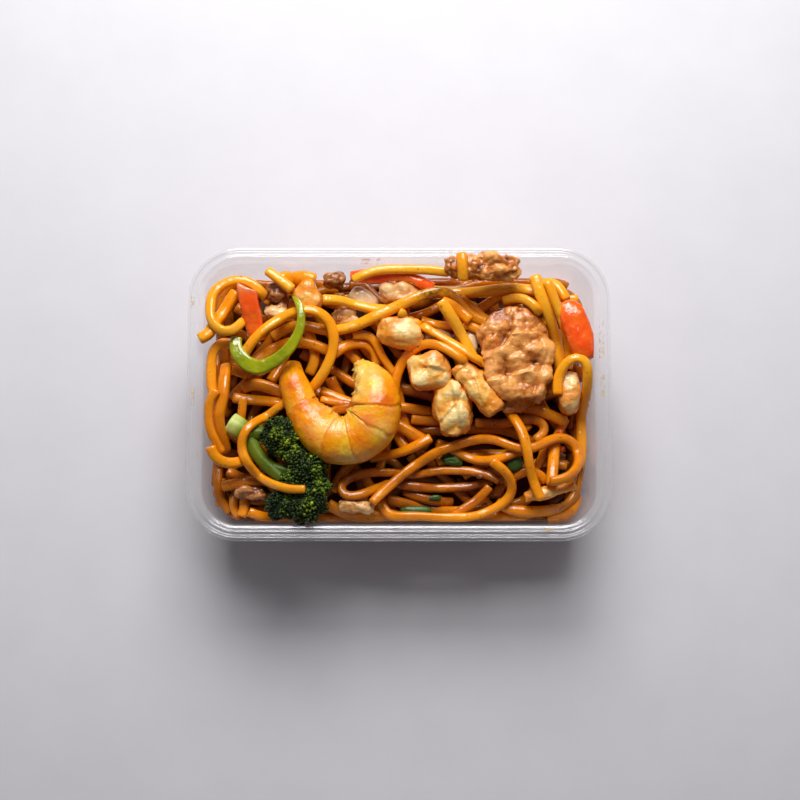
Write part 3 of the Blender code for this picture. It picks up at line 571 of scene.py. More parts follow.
# Noodles in the order in which they are laid, mostly from the lowest level up: level, width, tone
# from golden 0 to brown 1, route, and for some the least height of their middle, which keeps
# them up on the rim's inner edge.
# A topping of the same level or a lower one lies under the noodle, and the rest press it down.
NOODLES = (
    (0.0, 3.6, 0.55, ((-74, -29), (-74.5, -36), (-72.5, -43), (-69, -47))),
    (0.0, 4.0, 0.50, ((-67.5, -40), (-68, -45), (-65.5, -49))),
    (0.0, 4.2, 0.42, ((-63, -42), (-62.5, -46), (-64, -49.5))),
    (0.0, 4.0, 0.45, ((-61, -47.5), (-56, -49.5), (-50, -50.5), (-42, -50.5))),
    (0.0, 4.5, 0.35, ((-29, -44), (-20, -48.6), (-12, -50.3), (-3, -50.5))),
    (0.0, 4.0, 0.40, ((30, -48.5), (43, -49), (52, -49))),
    (0.0, 4.5, 0.38, ((40, -43), (46, -46.6), (56, -47), (67, -45.5))),
    (0.0, 4.2, 0.52, ((-5, -41.7), (2, -43.5), (10, -45.4), (18, -46.6), (27, -46.6))),
    (0.0, 3.8, 0.62, ((2, -38.5), (8, -41), (14, -42.5), (22, -42.5))),
    (0.0, 4.4, 0.60, ((-70, -30.5), (-66, -33), (-60, -33.7), (-52, -33))),
    (0.0, 4.5, 0.38, ((-38.5, 29.5), (-36, 23.3), (-34.5, 18), (-35, 13), (-37, 9.5))),
    (0.0, 3.6, 0.50, ((-73, -22.3), (-69, -22.8), (-63, -24.2))),
    (0.1, 4.0, 0.66, ((-3, -35), (6, -37), (12, -37.3), (18, -37.3), (24, -37), (30, -36.5), (38, -34.5))),
    (0.1, 4.6, 0.52, ((-72, -37), (-66, -36), (-60, -34.8), (-52, -35))),
    (0.1, 3.5, 0.62, ((54, -32), (58.3, -25.5), (60, -18))),
    (0.2, 3.8, 0.55, ((37, -37), (32.5, -42), (28.5, -45), (25, -47), (21, -49.5))),
    (0.2, 4.2, 0.35, ((-32, 2.5), (-25, -0.7), (-17, -4))),
    (0.2, 3.5, 0.45, ((-32, -1.5), (-24, -3.6), (-16, -5))),
    (0.2, 4.0, 0.48, ((-31, -9.5), (-26, -6.5), (-18, -5.5))),
    (0.2, 4.0, 0.30, ((-3, -4.2), (6, -5.3), (16, -6.2))),
    (0.2, 3.8, 0.35, ((5, -9.4), (11, -10), (17, -10))),
    (0.2, 4.8, 0.30, ((-6, -9), (3, -14), (7.5, -16.8), (10.8, -18.6))),
    (0.2, 4.0, 0.36, ((-12, -25.4), (-4, -24.3), (1, -23.2), (6, -21.3), (13, -17.5))),
    (0.2, 4.0, 0.28, ((62, 37), (65, 38.4), (69, 39.3), (73.5, 39.8)), 43.0),
    (0.2, 4.5, 0.25, ((43, 39.4), (51, 41), (57, 40.5), (62, 41.5))),
    (0.2, 4.0, 0.45, ((43, -36), (49, -31.7), (52.5, -30.5), (56.5, -31.5), (60, -35))),
    (0.3, 4.2, 0.36, ((65, 28), (66, 21), (66, 15), (65.3, 7))),
    (0.3, 5.0, 0.32, ((-64.5, 3.5), (-59.5, 5.5), (-54.5, 4), (-47, 1))),
    (0.3, 4.4, 0.36, ((-68, -0.5), (-62, -1.3), (-55, -2), (-45, -3.8))),
    (0.3, 4.0, 0.30, ((-71.5, 12), (-67.5, 10.8), (-62, 8.6))),
    (0.3, 3.6, 0.42, ((-63.5, -1), (-64.5, -9), (-65, -14))),
    (0.3, 4.5, 0.42, ((63.8, -19), (62.8, -27), (62.2, -32), (61.5, -37))),
    (0.3, 4.0, 0.30, ((56.5, 46.5), (62, 47.3), (64.8, 45.8), (67, 42), (68.5, 39.0))),
    (0.3, 4.4, 0.28, ((32, 35.5), (38.5, 40), (44, 42.6), (49.5, 45.3))),
    (0.3, 4.0, 0.42, ((2.5, 32.0), (8.5, 33.7), (12.5, 35.6), (18, 39))),
    (0.4, 4.8, 0.30, ((-66.5, 42), (-68.5, 39), (-71, 34.5), (-74, 30), (-77.5, 25.5), (-81, 21.5)), 47.0),
    (0.4, 4.3, 0.30, (
        (-65, 19.5), (-71.5, 21.5), (-75, 19.3), (-77, 15), (-77.3, 9), (-76.3, 3), (-74.5, -3)), 46.5),
    (0.4, 4.8, 0.42, ((-70.5, 12), (-71, 5), (-71.3, -2), (-73, -9), (-72.5, -15), (-70.5, -22.5))),
    (0.4, 3.6, 0.30, (
        (-73.5, 0.5), (-76.8, -3.5), (-78, -9), (-76.8, -14.5), (-74.3, -19.5), (-71.8, -24)), 46.0),
    (0.4, 4.4, 0.30, ((-76, -22), (-74.5, -26.5), (-70, -28.7), (-65, -28.3), (-60, -25.5))),
    (0.4, 4.5, 0.38, ((-62, 10), (-55.5, 17), (-50, 20.8), (-44, 22.3), (-37, 21.5), (-29, 18.7))),
    (0.4, 4.5, 0.44, ((-27, 16.5), (-21.5, 20.8), (-17, 22), (-12.5, 21.3), (-9.7, 18.5), (-9, 13))),
    (0.4, 5.0, 0.18, ((12, 44.5), (22, 43.3), (30, 43), (38, 43.2), (45, 43.8), (52, 43), (57.5, 42))),
    (0.4, 4.0, 0.50, (
        (31, -11), (40, -11.3), (47, -10.3), (53.5, -9), (57.8, -9.7), (60.2, -12.5), (59.5, -15.5),
        (55.5, -18))),
    (0.5, 4.0, 0.18, (
        (-53, 38.5), (-58, 43.5), (-62, 46.3), (-67, 46.8), (-72, 45), (-76.5, 41), (-78.4, 36),
        (-77.5, 31), (-74.5, 26.3), (-70.5, 23.8), (-66.5, 25.5), (-62.5, 31)), 48.0),
    (0.5, 3.6, 0.36, ((-19, 24.5), (-12.5, 25), (-9.5, 22), (-7.7, 17.5), (-5, 13), (-1, 8))),
    (0.5, 3.6, 0.55, (
        (41, -35), (37, -32.5), (30, -30.8), (22, -30.2), (14, -30.8), (6, -32), (-2, -31.4),
        (-10, -31.2), (-17, -32.3), (-22, -34.6), (-24.3, -38), (-22.8, -41), (-19, -41.9),
        (-14.5, -40.6), (-9, -37.8), (-4, -35.5))),
    (0.5, 4.0, 0.44, ((19, -20.5), (25.5, -24), (30, -26), (35, -27), (40, -26.5), (44.5, -25), (50, -22.2))),
    (0.5, 4.0, 0.34, ((25, 40.5), (30, 36), (33, 33.5), (36.5, 31))),
    (0.6, 5.0, 0.16, (
        (55.5, 48), (56.5, 43), (58.5, 38), (61, 32), (63.3, 26.5), (65, 20), (66, 14), (66.4, 8))),
    (0.6, 4.0, 0.24, (
        (60.3, 45.3), (62, 41), (63.5, 37), (65.2, 32.5), (67.5, 27), (69.5, 22), (70, 17), (69, 11))),
    (0.6, 3.8, 0.22, ((43, 38.8), (48.5, 39.4), (52, 38), (55.5, 35), (58, 31.5), (60.0, 28.4))),
    (0.6, 4.4, 0.36, ((47, -4.6), (54.5, -5), (58.5, -6.3), (63, -8.3), (68.3, -10.3))),
    (0.6, 6.2, 0.34, ((-48.4, 46.6), (-45, 47.9), (-41.5, 48.4), (-38, 47.9), (-34.6, 46.6)), 47.6),
    (1.05, 4.2, 0.14, ((-53.8, 50.2), (-50, 47.2), (-46.4, 44.4), (-43.4, 42.0)), 50.0),
    (1.1, 4.2, 0.14, ((-31, 38), (-24, 38), (-20, 37.2), (-14, 35.6), (-9.5, 34.8), (-3, 35))),
    (1.1, 3.6, 0.34, ((9, 31.5), (16, 29.2), (20.5, 28.4), (26, 28.6), (30, 27.9), (35, 24.5))),
    (1.2, 4.4, 0.28, (
        (-52, 24.5), (-44.5, 28.6), (-38.5, 29), (-33, 27.4), (-28.5, 26.2), (-23, 26.4), (-17.5, 28),
        (-12, 30.3), (-6, 33.2), (0, 35.8), (6, 38.5), (12, 41), (17, 42), (21, 41.3), (24.5, 38),
        (28, 34), (31.5, 31.3), (36, 29.7), (42, 28.6))),
    (1.2, 4.2, 0.26, (
        (-64.5, 14), (-60.5, 19.5), (-57, 23.8), (-52, 28), (-46, 31.7), (-40, 33.7), (-34, 33.4),
        (-29.3, 30.5), (-26.8, 25.5), (-26.4, 20), (-28, 14), (-31, 8), (-36, 2.5))),
    (1.2, 4.2, 0.16, (
        (64.3, -1), (64, 4), (65.2, 8.5), (67.7, 12), (70.5, 14.2), (73.7, 14.2), (76.5, 11.8),
        (77.5, 7), (77.4, 0), (77, -6), (76.3, -12), (75.8, -18), (75.2, -24), (73.8, -28.5))),
    (0.9, 4.2, 0.36, ((17.5, 37.5), (21, 36.6), (25, 33.5), (29, 29.5))),
    (1.3, 4.8, 0.20, ((16.8, 37.0), (18.2, 35.0), (21, 31), (24, 26.5), (27, 21), (30, 14.5))),
    (1.3, 3.8, 0.30, (
        (37.5, -27.5), (43, -31.5), (45.6, -34.7), (46.5, -38.3), (45, -41.7), (41, -45), (36, -47.4),
        (31, -49.2), (26, -50.2), (20.5, -50.8), (14, -51), (8, -51), (2, -50.8), (-2.5, -50),
        (-5.5, -47.5), (-7.3, -43.5))),
    (1.4, 3.9, 0.46, (
        (-11, -44.5), (-6, -39.2), (-1, -34.5), (4, -30.3), (9, -26.8), (14, -24), (19.5, -21.7),
        (25.5, -19.7), (31, -18), (36, -17.9), (41, -19.4), (46, -21.9), (50, -23), (54, -22.5),
        (58, -20.4), (62, -18), (66, -17), (70, -18.3), (73, -22), (73.5, -26.5), (72, -30.5),
        (69, -33.7), (65, -35.5), (61, -36))),
    (1.5, 3.8, 0.22, (
        (0, 32.8), (5, 30.3), (10, 27.3), (15.5, 24), (21, 20.5), (26, 17), (30.5, 13.8), (36, 11.5))),
    (1.6, 4.0, 0.32, (
        (-2, -1), (-1.5, 6), (0.5, 12), (3.7, 16.9), (8, 19.7), (12.5, 20.3), (17, 18.8), (22, 15.7),
        (27, 11.8), (32, 8.2), (37, 3.8), (41, -0.7), (44, -5.2), (46.5, -9.5), (49, -14),
        (51, -19.5), (52, -26), (53.2, -32), (55, -37.5), (57.5, -43))),
    (1.9, 3.8, 0.16, (
        (-18.8, 46.4), (-13.5, 49), (-8, 50.5), (0, 51.4), (6, 51.2), (11, 50.8), (15.5, 50.3),
        (20.5, 49.6)), 49.5),
    (3.0, 3.6, 0.20, (
        (-45.5, -2.5), (-49, -5.2), (-53, -8), (-58.5, -11.7), (-62.5, -16.3), (-63.9, -21.5), (-62, -27.5),
        (-57.5, -32.8), (-51, -37.3), (-44.5, -39.7), (-37.5, -40))),
    (3.1, 4.2, 0.36, ((25.2, 54.8), (25.5, 52.0), (25.7, 48), (25.8, 44.0))),
)
TOP_STEP = 1.3
TOP_SIDES = 12

# How sharply a noodle may bend down over what it lies on. From the top level on they bend more,
# and the last, which is propped on the rim, a little less.
BEND = 0.035
STEEP_BEND = 0.30
PROP_BEND = 0.12
TOP_LEVEL = 1.9
PROP_LEVEL = 3.05

# The level and width of the one noodle with a scorched spot, and the spot's place and size
SCORCHED = (1.2, 4.4)
SCORCH_SPOT = (14.0, 40.5, 7.0, 4.0)

# Painted light: noodles are painted paler towards +y, where the key light stands: by this much a millimetre,
# from this y on
PAINTED_LIGHT_SLOPE = 0.0042
PAINTED_LIGHT_START = -6.0

# Toppings and the level that each lies at
TOPPING_LEVELS = {
    "green_pepper_curl": 2.0, "prawn": 3.5, "broccoli": 2.6, "beef_large": 2.0, "beef_top": 2.0,
    "chicken_upper": 2.0, "chicken_middle": 2.0, "chicken_roll": 2.1, "chicken_lower": 2.0,
    "chicken_left": 1.0, "chicken_right": 1.0, "chicken_strip": 0.15, "beef_left_dark": 1.0,
    "beef_left_pale": 1.0, "beef_small": 1.0, "pork_minced": 1.0, "pork_upper": 1.0,
    "pork_lower": 0.3, "beef_lower": 0.3, "red_pepper_left": 1.15, "red_pepper_top": 1.0,
    "red_pepper_right": 1.0, "onion_upper": 1.0, "onion_middle": 1.0, "onion_right": 1.0,
    "green_pepper_lower": 0.05, "green_pepper_right": 0.3,
}


class Field:
    """Heights over a grid, which strands are draped on. It wraps round at its edges."""

    def __init__(self, low, high, cell, base):
        self.low = np.array(low, float)
        self.cell = cell
        self.count = np.ceil((np.array(high, float) - self.low) / cell).astype(int) + 1
        x = self.low[0] + np.arange(self.count[0]) * cell
        y = self.low[1] + np.arange(self.count[1]) * cell
        self.x, self.y = np.meshgrid(x, y, indexing="ij")
        self.top = base(self.x, self.y) + np.zeros(self.x.shape)
        self.hard = np.full(self.x.shape, -NOWHERE)

    def spots(self, line):
        """Cells that points lie in."""
        where = np.rint((line[:, :2] - self.low) / self.cell).astype(int)
        return where[:, 0], where[:, 1]

    def disc(self, half):
        """Cells under a strand's width, each with the strand's roundness there."""
        reach = int(half / self.cell)
        for i in range(-reach, reach + 1):
            for j in range(-reach, reach + 1):
                off = math.hypot(i, j) * self.cell
                if off <= half:
                    yield i, j, (1.0 - (off / half) ** SECTION_POWER) ** (1 / SECTION_POWER)

    def read(self, grid, i, j):
        """Values of one of the grids at cells, wrapped round at the edges."""
        return grid[i % self.count[0], j % self.count[1]]

    def support(self, line, wide, tall, sink):
        """Lowest middle height of a strand at each point of its line."""
        i, j = self.spots(line)
        low = np.full(len(line), -NOWHERE)
        for di, dj, share in self.disc(wide / 2):
            low = np.maximum(low, self.read(self.top, i + di, j + dj) + tall / 2 * share - sink)
            low = np.maximum(low, self.read(self.hard, i + di, j + dj) + tall / 2 * share + CLEAR)
        return low

    def stamp(self, line, z, wide, tall):
        """Add a laid strand to the heights."""
        fine = even_steps(np.column_stack([line, z]), self.cell * 0.8)
        i, j = self.spots(fine)
        for di, dj, share in self.disc(wide / 2):
            at = ((i + di) % self.count[0], (j + dj) % self.count[1])
            np.maximum.at(self.top, at, fine[:, 2] + tall / 2 * share)


def draped(line, low, bend):
    """Heights of a strand that bends down no sharper than it can over what is under it."""
    reach = np.concatenate([[0.0], np.cumsum(np.linalg.norm(np.diff(line, axis=0), axis=1))])
    z = (low[None, :] - bend * (reach[:, None] - reach[None, :]) ** 2).max(axis=1)
    for settle in range(6):
        z[1:-1] = (z[:-2] + 2 * z[1:-1] + z[2:]) / 4
        z = np.maximum(z, low - 0.25)
    z[1:-1] = (z[:-2] + 2 * z[1:-1] + z[2:]) / 4
    return z


class Strands:
    """Collects noodles, which become one mesh."""

    def __init__(self, seed):
        self.random = random.Random(seed)
        self.points, self.faces, self.shades = [], [], []
        self.total = 0

    def add(self, line, up, wide, tall, sides, tone, depth, scorch=None):
        """line is in space, up is over it, and depth, which is painted shade, and scorch go from 0 to 1 along
        it.
        """
        count = len(line)
        phase = self.random.uniform(0, FULL_TURN)
        along = np.arange(count)
        # Its thickness and its turn drift slowly along it, as hand-cut noodles' do
        swell = 1.0 + 0.05 * np.sin(along * 0.11 + phase) + 0.03 * np.sin(along * 0.37 + phase * 2)
        twist = 0.42 * np.sin(along * 0.06 + phase)
        rings = tube_rings(line, up, wide * swell, tall * swell, sides, SECTION_POWER, twist)
        points = capped(rings)
        rows = np.concatenate([[0, 0], np.arange(1, count - 1), [count - 1, count - 1]])
        shade = np.zeros((len(rows), 3))
        shade[:, 0] = depth[rows]
        shade[:, 1] = tone + 0.05 * np.sin(rows * 0.13 + phase)
        if scorch is not None:
            shade[:, 2] = scorch[rows]
        shade = np.repeat(shade, sides, axis=0)
        # Painted shade: the sides and the lower side are painted browner than the top
        shade[:, 1] += np.tile(0.09 * (1.0 - section(sides, SECTION_POWER)[:, 1]), len(rows))
        shade = np.vstack([shade, shade[:1], shade[-1:]])
        self.faces += ring_faces(len(rings), sides, self.total)
        self.points.append(points)
        self.shades.append(shade)
        self.total += len(points)

    def mesh(self, name):
        """All strands as one mesh."""
        return mesh_from(name, np.vstack(self.points), self.faces, np.vstack(self.shades))


def topping_tops(field, node):
    """Heights of a CAD topping's upper side on the grid, or far below beside it."""
    tree = BVHTree.FromObject(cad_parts[node], bpy.context.evaluated_depsgraph_get())
    low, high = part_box(node)
    tops = np.full(field.x.shape, -NOWHERE)
    near = (field.x > low.x / MM) & (field.x < high.x / MM) & (field.y > low.y / MM) & (field.y < high.y / MM)
    for i, j in zip(*np.nonzero(near)):
        start = Vector((field.x[i, j] * MM, field.y[i, j] * MM, 1.0))
        hit = tree.ray_cast(start, Vector((0, 0, -1)))[0]
        if hit is not None:
            tops[i, j] = hit.z / MM
    return tops


def wander(rng, start, heading, length, turn, step=2.0):
    """A random bent line: its heading drifts, and so does its bend."""
    points = [np.array(start, float)]
    bend = rng.gauss(0, turn)
    for k in range(int(length / step)):
        bend = 0.9 * bend + rng.gauss(0, turn * 0.4)
        heading += bend
        points.append(points[-1] + step * np.array([math.cos(heading), math.sin(heading)]))
    return np.array(points)


def longest_run(good):
    """First and last place of the longest run of true values."""
    best, start = (0, 0), None
    for k, value in enumerate(list(good) + [False]):
        if value and start is None:
            start = k
        if not value and start is not None:
            if k - start > best[1] - best[0]:
                best = (start, k)
            start = None
    return best


# Random noodles: their widths, and their tones inside the heap and behind the clear plastic
LOOSE_WIDTH = (3.8, 4.8)
FILL_TONE = (0.30, 0.62)
HIDDEN_TONE = (0.25, 0.6)

# Noodles inside the heap. A drift is how fast a random noodle's heading changes.
FILL_COUNT = 460
FILL_HALF_X = 76
FILL_HALF_Y = 50
FILL_GUESS = 33.0
CORNER_DIP = 7.0
CORNER_SPOT = (76, 47, 9, 9)
FILL_SIDES = 8
FILL_STEP = 2.2
FILL_TOP = 0.4
FILL_DRIFT = 0.09
FILL_LENGTH = (50, 110)
FILL_LEAST = 9


def loose_noodle(rng, start, heading, length, drift, step):
    """A random noodle's line, width and thickness."""
    line = even_steps(wander(rng, start, heading, rng.uniform(*length), drift), step)
    wide = rng.uniform(*LOOSE_WIDTH)
    return line, wide, wide * FLATNESS


def longest_part(good, least, *rows):
    """The stretch of each row where good stays true for longest, or None if it is too short."""
    first, last = longest_run(good)
    return [row[first:last] for row in rows] if last - first >= least else None


def depth_shade(depth):
    """Painted shade: how dark a noodle is painted by its depth behind the clear plastic."""
    return np.clip((depth - 2.0) / 8.0, 0.0, 0.9)


def lay_fill(field, strands):
    """Random noodles between the core and the ones that show on top."""
    rng = strands.random
    for k in range(FILL_COUNT):
        start = (rng.uniform(-FILL_HALF_X, FILL_HALF_X), rng.uniform(-FILL_HALF_Y, FILL_HALF_Y))
        heading = rng.uniform(0, FULL_TURN)
        line, wide, tall = loose_noodle(rng, start, heading, FILL_LENGTH, FILL_DRIFT, FILL_STEP)
        line = held_inside(line, np.full(len(line), FILL_GUESS), wide / 2)
        z = draped(line, field.support(line, wide, tall, SINK), BEND)
        corner = CORNER_DIP * bump(line[:, 0], np.abs(line[:, 1]), *CORNER_SPOT)
        good = z + tall / 2 < bed(line[:, 0], line[:, 1]) - FILL_TOP - corner
        kept = longest_part(good, FILL_LEAST, line, z)
        if kept is None:
            continue
        line, z = kept
        line = held_inside(line, z - tall / 2, wide / 2)
        field.stamp(line, z, wide, tall)
        space = np.column_stack([line, z])
        # Painted shade: darker the further a noodle lies under the bed
        depth = np.clip((bed(line[:, 0], line[:, 1]) - 2.0 - z) / 10.0, 0.0, 0.7)
        strands.add(space, UP, wide, tall, FILL_SIDES, rng.uniform(*FILL_TONE), depth)


def soften(line, rounds):
    """Round a line's corners, with its ends kept."""
    for settle in range(rounds):
        line[1:-1] = (line[:-2] + 2 * line[1:-1] + line[2:]) / 4
    return line


# A noodle hangs over the rim where its line runs this far past the wall. Its height is found from
# a first guess, and it keeps this gap under a topping of a higher level.
OVER_RIM = 0.5
FIRST_GUESS = 46.0
ROOF_GAP = 1.0


def lay_traced(field, strands, tops):
    """The noodles that show in the photo, each over or under its toppings."""
    waiting = sorted(TOPPING_LEVELS, key=TOPPING_LEVELS.get)
    for level, wide, tone, route, *least in NOODLES:
        while waiting and TOPPING_LEVELS[waiting[0]] <= level:
            field.hard = np.maximum(field.hard, tops[waiting.pop(0)])
        ceiling = np.full(field.x.shape, NOWHERE)
        for node in waiting:
            ceiling = np.where(tops[node] > 0, np.minimum(ceiling, tops[node]), ceiling)
        tall = wide * FLATNESS
        line = spline(route, TOP_STEP)
        over_rim = wall_distance(line[:, 0], line[:, 1], NECK_HEIGHT) < -OVER_RIM
        z = np.full(len(line), FIRST_GUESS)
        least = least[0] if least else 0.0
        for settle in range(3):
            pulled = held_inside(line, z - tall / 2, wide / 2)
            line = soften(np.where(over_rim[:, None], line, pulled), 3)
            low = np.maximum(field.support(line, wide, tall, SINK), least)
            rim = wall_distance(line[:, 0], line[:, 1], NECK_HEIGHT) < wide / 2 - 0.3
            lifted = rim & (over_rim | (low > NECK_HEIGHT))
            low = np.where(lifted, np.maximum(low, TRAY_HEIGHT + tall / 2), low)
            i, j = field.spots(line)
            roof = field.read(ceiling, i, j) - tall / 2 - ROOF_GAP
            bend = BEND if level < TOP_LEVEL else STEEP_BEND if level < PROP_LEVEL else PROP_BEND
            z = draped(line, np.minimum(low, roof), bend)
            z = np.minimum(z, roof)
        field.stamp(line, z, wide, tall)
        space = np.column_stack([line, z])
        # Painted shade: darker the further a noodle lies under the bed
        depth = np.clip((bed(line[:, 0], line[:, 1]) + 0.5 - z) / 12.0, 0.0, 0.4)
        scorch = bump(line[:, 0], line[:, 1], *SCORCH_SPOT) if (level, wide) == SCORCHED else None
        # Painted light: paler towards +y
        tone -= PAINTED_LIGHT_SLOPE * max(float(line[:, 1].mean()), PAINTED_LIGHT_START)
        strands.add(space, UP, wide, tall, TOP_SIDES, tone, depth, scorch)


# Noodles at the clear wall: their lowest and highest middle, and how deep they may pile up
WALL_LOW = 3.5
WALL_HIGH = 31.0
WALL_COUNT = 200
WALL_DEPTH = 8.0
WALL_SIDES = 7
WALL_STEP = 2.6
WALL_DRIFT = 0.07
WALL_LENGTH = (45, 110)
WALL_SLANT = 0.35
WALL_LEAST = 8
COARSE_CELL = 0.75
HIDDEN_BEND = 0.05


def outline_table():
    """Corner signs and directions round the tray, with the distance run at mid height."""
    rows = list(corner_turns())
    rows = np.array(rows + rows[:1])
    half_x, half_y, corner = wall_size(NECK_HEIGHT / 2, WALL)
    x = rows[:, 0] * (half_x - corner) + corner * rows[:, 2]
    y = rows[:, 1] * (half_y - corner) + corner * rows[:, 3]
    run = np.concatenate([[0.0], np.cumsum(np.hypot(np.diff(x), np.diff(y)))])
    return rows, run


def wall_points(rows, run, along, z, inset):
    """Points beside the tray's wall, and the directions from the wall inwards."""
    side_x, side_y, cos, sin = [np.interp(along % run[-1], run, rows[:, k]) for k in range(4)]
    length = np.maximum(np.hypot(cos, sin), 1e-6)
    cos, sin = cos / length, sin / length
    half_x, half_y, corner = wall_size(z, WALL + GAP)
    x = side_x * (half_x - corner) + (corner - inset) * cos
    y = side_y * (half_y - corner) + (corner - inset) * sin
    return np.column_stack([x, y, z]), np.column_stack([-cos, -sin, np.zeros(len(x))])


def lay_wall(strands):
    """Noodles pressed against the clear wall, which show from the side."""
    rng = strands.random
    rows, run = outline_table()
    field = Field((0.0, 0.0), (run[-1], NECK_HEIGHT), COARSE_CELL, lambda x, y: 0.0)
    for k in range(WALL_COUNT):
        start = (rng.uniform(0, run[-1]), rng.uniform(WALL_LOW, WALL_HIGH))
        heading = rng.choice((0.0, math.pi)) + rng.gauss(0, WALL_SLANT)
        line, wide, tall = loose_noodle(rng, start, heading, WALL_LENGTH, WALL_DRIFT, WALL_STEP)
        line[:, 1] = np.clip(line[:, 1], WALL_LOW, WALL_HIGH)
        depth = draped(line, field.support(line, wide, tall, SINK), HIDDEN_BEND)
        kept = longest_part(depth + tall / 2 < WALL_DEPTH, WALL_LEAST, line, depth)
        if kept is None:
            continue
        line, depth = kept
        field.stamp(line, depth, wide, tall)
        space, inward = wall_points(rows, run, line[:, 0], line[:, 1], depth + 0.1)
        strands.add(space, inward, wide, tall, WALL_SIDES, rng.uniform(*HIDDEN_TONE), depth_shade(depth))


# Noodles on the clear floor: where they lie, and how high they may pile up
FLOOR_COUNT = 75
FLOOR_HALF_X = 68
FLOOR_HALF_Y = 42
FLOOR_SIDES = 6
FLOOR_STEP = 3.0
FLOOR_DRIFT = 0.1
FLOOR_LENGTH = (40, 90)
FLOOR_LEAST = 7
FLOOR_PILE = 7.5
FLOOR_HEIGHT = 2.0


def lay_floor(strands):
    """Noodles on the clear floor, which show from below."""
    rng = strands.random
    reach = (BASE_HALF_X + 9, BASE_HALF_Y + 9)
    field = Field((-reach[0], -reach[1]), reach, COARSE_CELL, lambda x, y: 0.0)
    for k in range(FLOOR_COUNT):
        start = (rng.uniform(-FLOOR_HALF_X, FLOOR_HALF_X), rng.uniform(-FLOOR_HALF_Y, FLOOR_HALF_Y))
        heading = rng.uniform(0, FULL_TURN)
        line, wide, tall = loose_noodle(rng, start, heading, FLOOR_LENGTH, FLOOR_DRIFT, FLOOR_STEP)
        line = held_inside(line, np.full(len(line), 1.0), wide / 2 + 1.0)
        height = draped(line, field.support(line, wide, tall, SINK), HIDDEN_BEND)
        kept = longest_part(height + tall / 2 < FLOOR_PILE, FLOOR_LEAST, line, height)
        if kept is None:
            continue
        line, height = kept
        field.stamp(line, height, wide, tall)
        space = np.column_stack([line, height + FLOOR_HEIGHT])
        strands.add(space, UP, wide, tall, FLOOR_SIDES, rng.uniform(*HIDDEN_TONE), depth_shade(height))


# The core's side as height and inset, and its lid as rings of these insets that follow the bed
CORE_SIDE = ((6.5, 6.0), (9.0, 5.5), (20.0, 5.5), (24.0, 6.5))
CORE_LID_INSETS = (7.5, 10.0, 14.0, 19.0, 25.0, 32.0, 40.0, 46.0)
CORE_LID_HEIGHT = 30.0


def build_core(finish):
    """The dark heart of the heap, under every noodle that shows: sauce colour painted near black as the shade
    deep in the heap.
    """
    rings = []
    for z, inset in CORE_SIDE:
        rings.append(rounded_ring(*wall_size(z, WALL + inset), z))
    for inset in CORE_LID_INSETS:
        half_x, half_y, corner = wall_size(CORE_LID_HEIGHT, WALL + inset)
        ring = rounded_ring(half_x, half_y, max(min(corner, half_y - 1.0), 2.0), 0.0)
        rings.append([(x, y, float(bed(x, y)) - CORE_DEPTH) for x, y, z in ring])
    rings = np.array(rings)
    mesh = mesh_from("sauce_and_shade_core", capped(rings), ring_faces(len(rings), rings.shape[1]))
    return new_object("sauce_and_shade_core", mesh, finish, "noodles", "fried_noodle")


def build_noodles(finish):
    """All noodles as one mesh, and the heights that they lie at."""
    margin = 6.0
    low = (-RIM_HALF_X - margin, -RIM_HALF_Y - margin)
    high = (RIM_HALF_X + margin, RIM_HALF_Y + margin)
    field = Field(low, high, CELL, lambda x, y: bed(x, y) - CORE_DEPTH)
    tops = {node: topping_tops(field, node) for node in TOPPING_LEVELS}
    strands = Strands(7)
    lay_fill(field, strands)
    lay_traced(field, strands, tops)
    lay_wall(strands)
    lay_floor(strands)
    new_object("noodle_strands", strands.mesh("noodle_strands"), finish, "noodles", "fried_noodle")
    return field


# Toppings: the size of a remeshed copy's cells, and how often a soft piece is smoothed

FINE_VOXEL = 0.45
SKIN_VOXEL = 0.5
LARGE_VOXEL = 0.55
SOFT_ROUNDS = 8
SKIN_ROUNDS = 3


def fractal(p, size, octaves=3):
    """Smooth noise from about -1 to 1 whose blobs are this many millimetres across."""
    return noise.fractal(p / size, 0.9, 2.1, octaves)


def sculpted(node, finish, slot, voxel, relief, smooth, reshape):
    """A fine copy of a CAD solid, softened, with relief from a function of the point."""
    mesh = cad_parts[node].data.copy()
    made = bpy.data.objects.new("work", mesh)
    bpy.context.scene.collection.objects.link(made)
    bm = bmesh.new()
    bm.from_mesh(mesh)
    bmesh.ops.remove_doubles(bm, verts=bm.verts, dist=1e-6)
    bm.to_mesh(mesh)
    bm.free()
    remesh = made.modifiers.new("remesh", "REMESH")
    remesh.mode = "VOXEL"
    remesh.voxel_size = voxel * MM
    soft = made.modifiers.new("soft", "SMOOTH")
    soft.iterations = smooth
    graph = bpy.context.evaluated_depsgraph_get()
    fine = bpy.data.meshes.new_from_object(made.evaluated_get(graph))
    bpy.data.objects.remove(made)
    moved, shades = [], []
    for vert in fine.vertices:
        p = vert.co / MM
        out, shade = relief(p, vert.normal)
        p = p + vert.normal * out
        moved.append(reshape(p) if reshape else p)
        shades.append(shade)
    for vert, p in zip(fine.vertices, moved):
        vert.co = p * MM
    for name in [layer.name for layer in fine.color_attributes]:
        fine.color_attributes.remove(fine.color_attributes[name])
    paint_points(fine, np.array(shades))
    fine.name = node + "_detail"
    return new_object(node + "_detail", fine, finish, node, slot)


# How far a fold reaches: its step itself, its high and its low side, and past its ends
FOLD_STEP = 0.5
FOLD_HIGH_REACH = 4.5
FOLD_LOW_REACH = 2.2
FOLD_END_REACH = 2.5


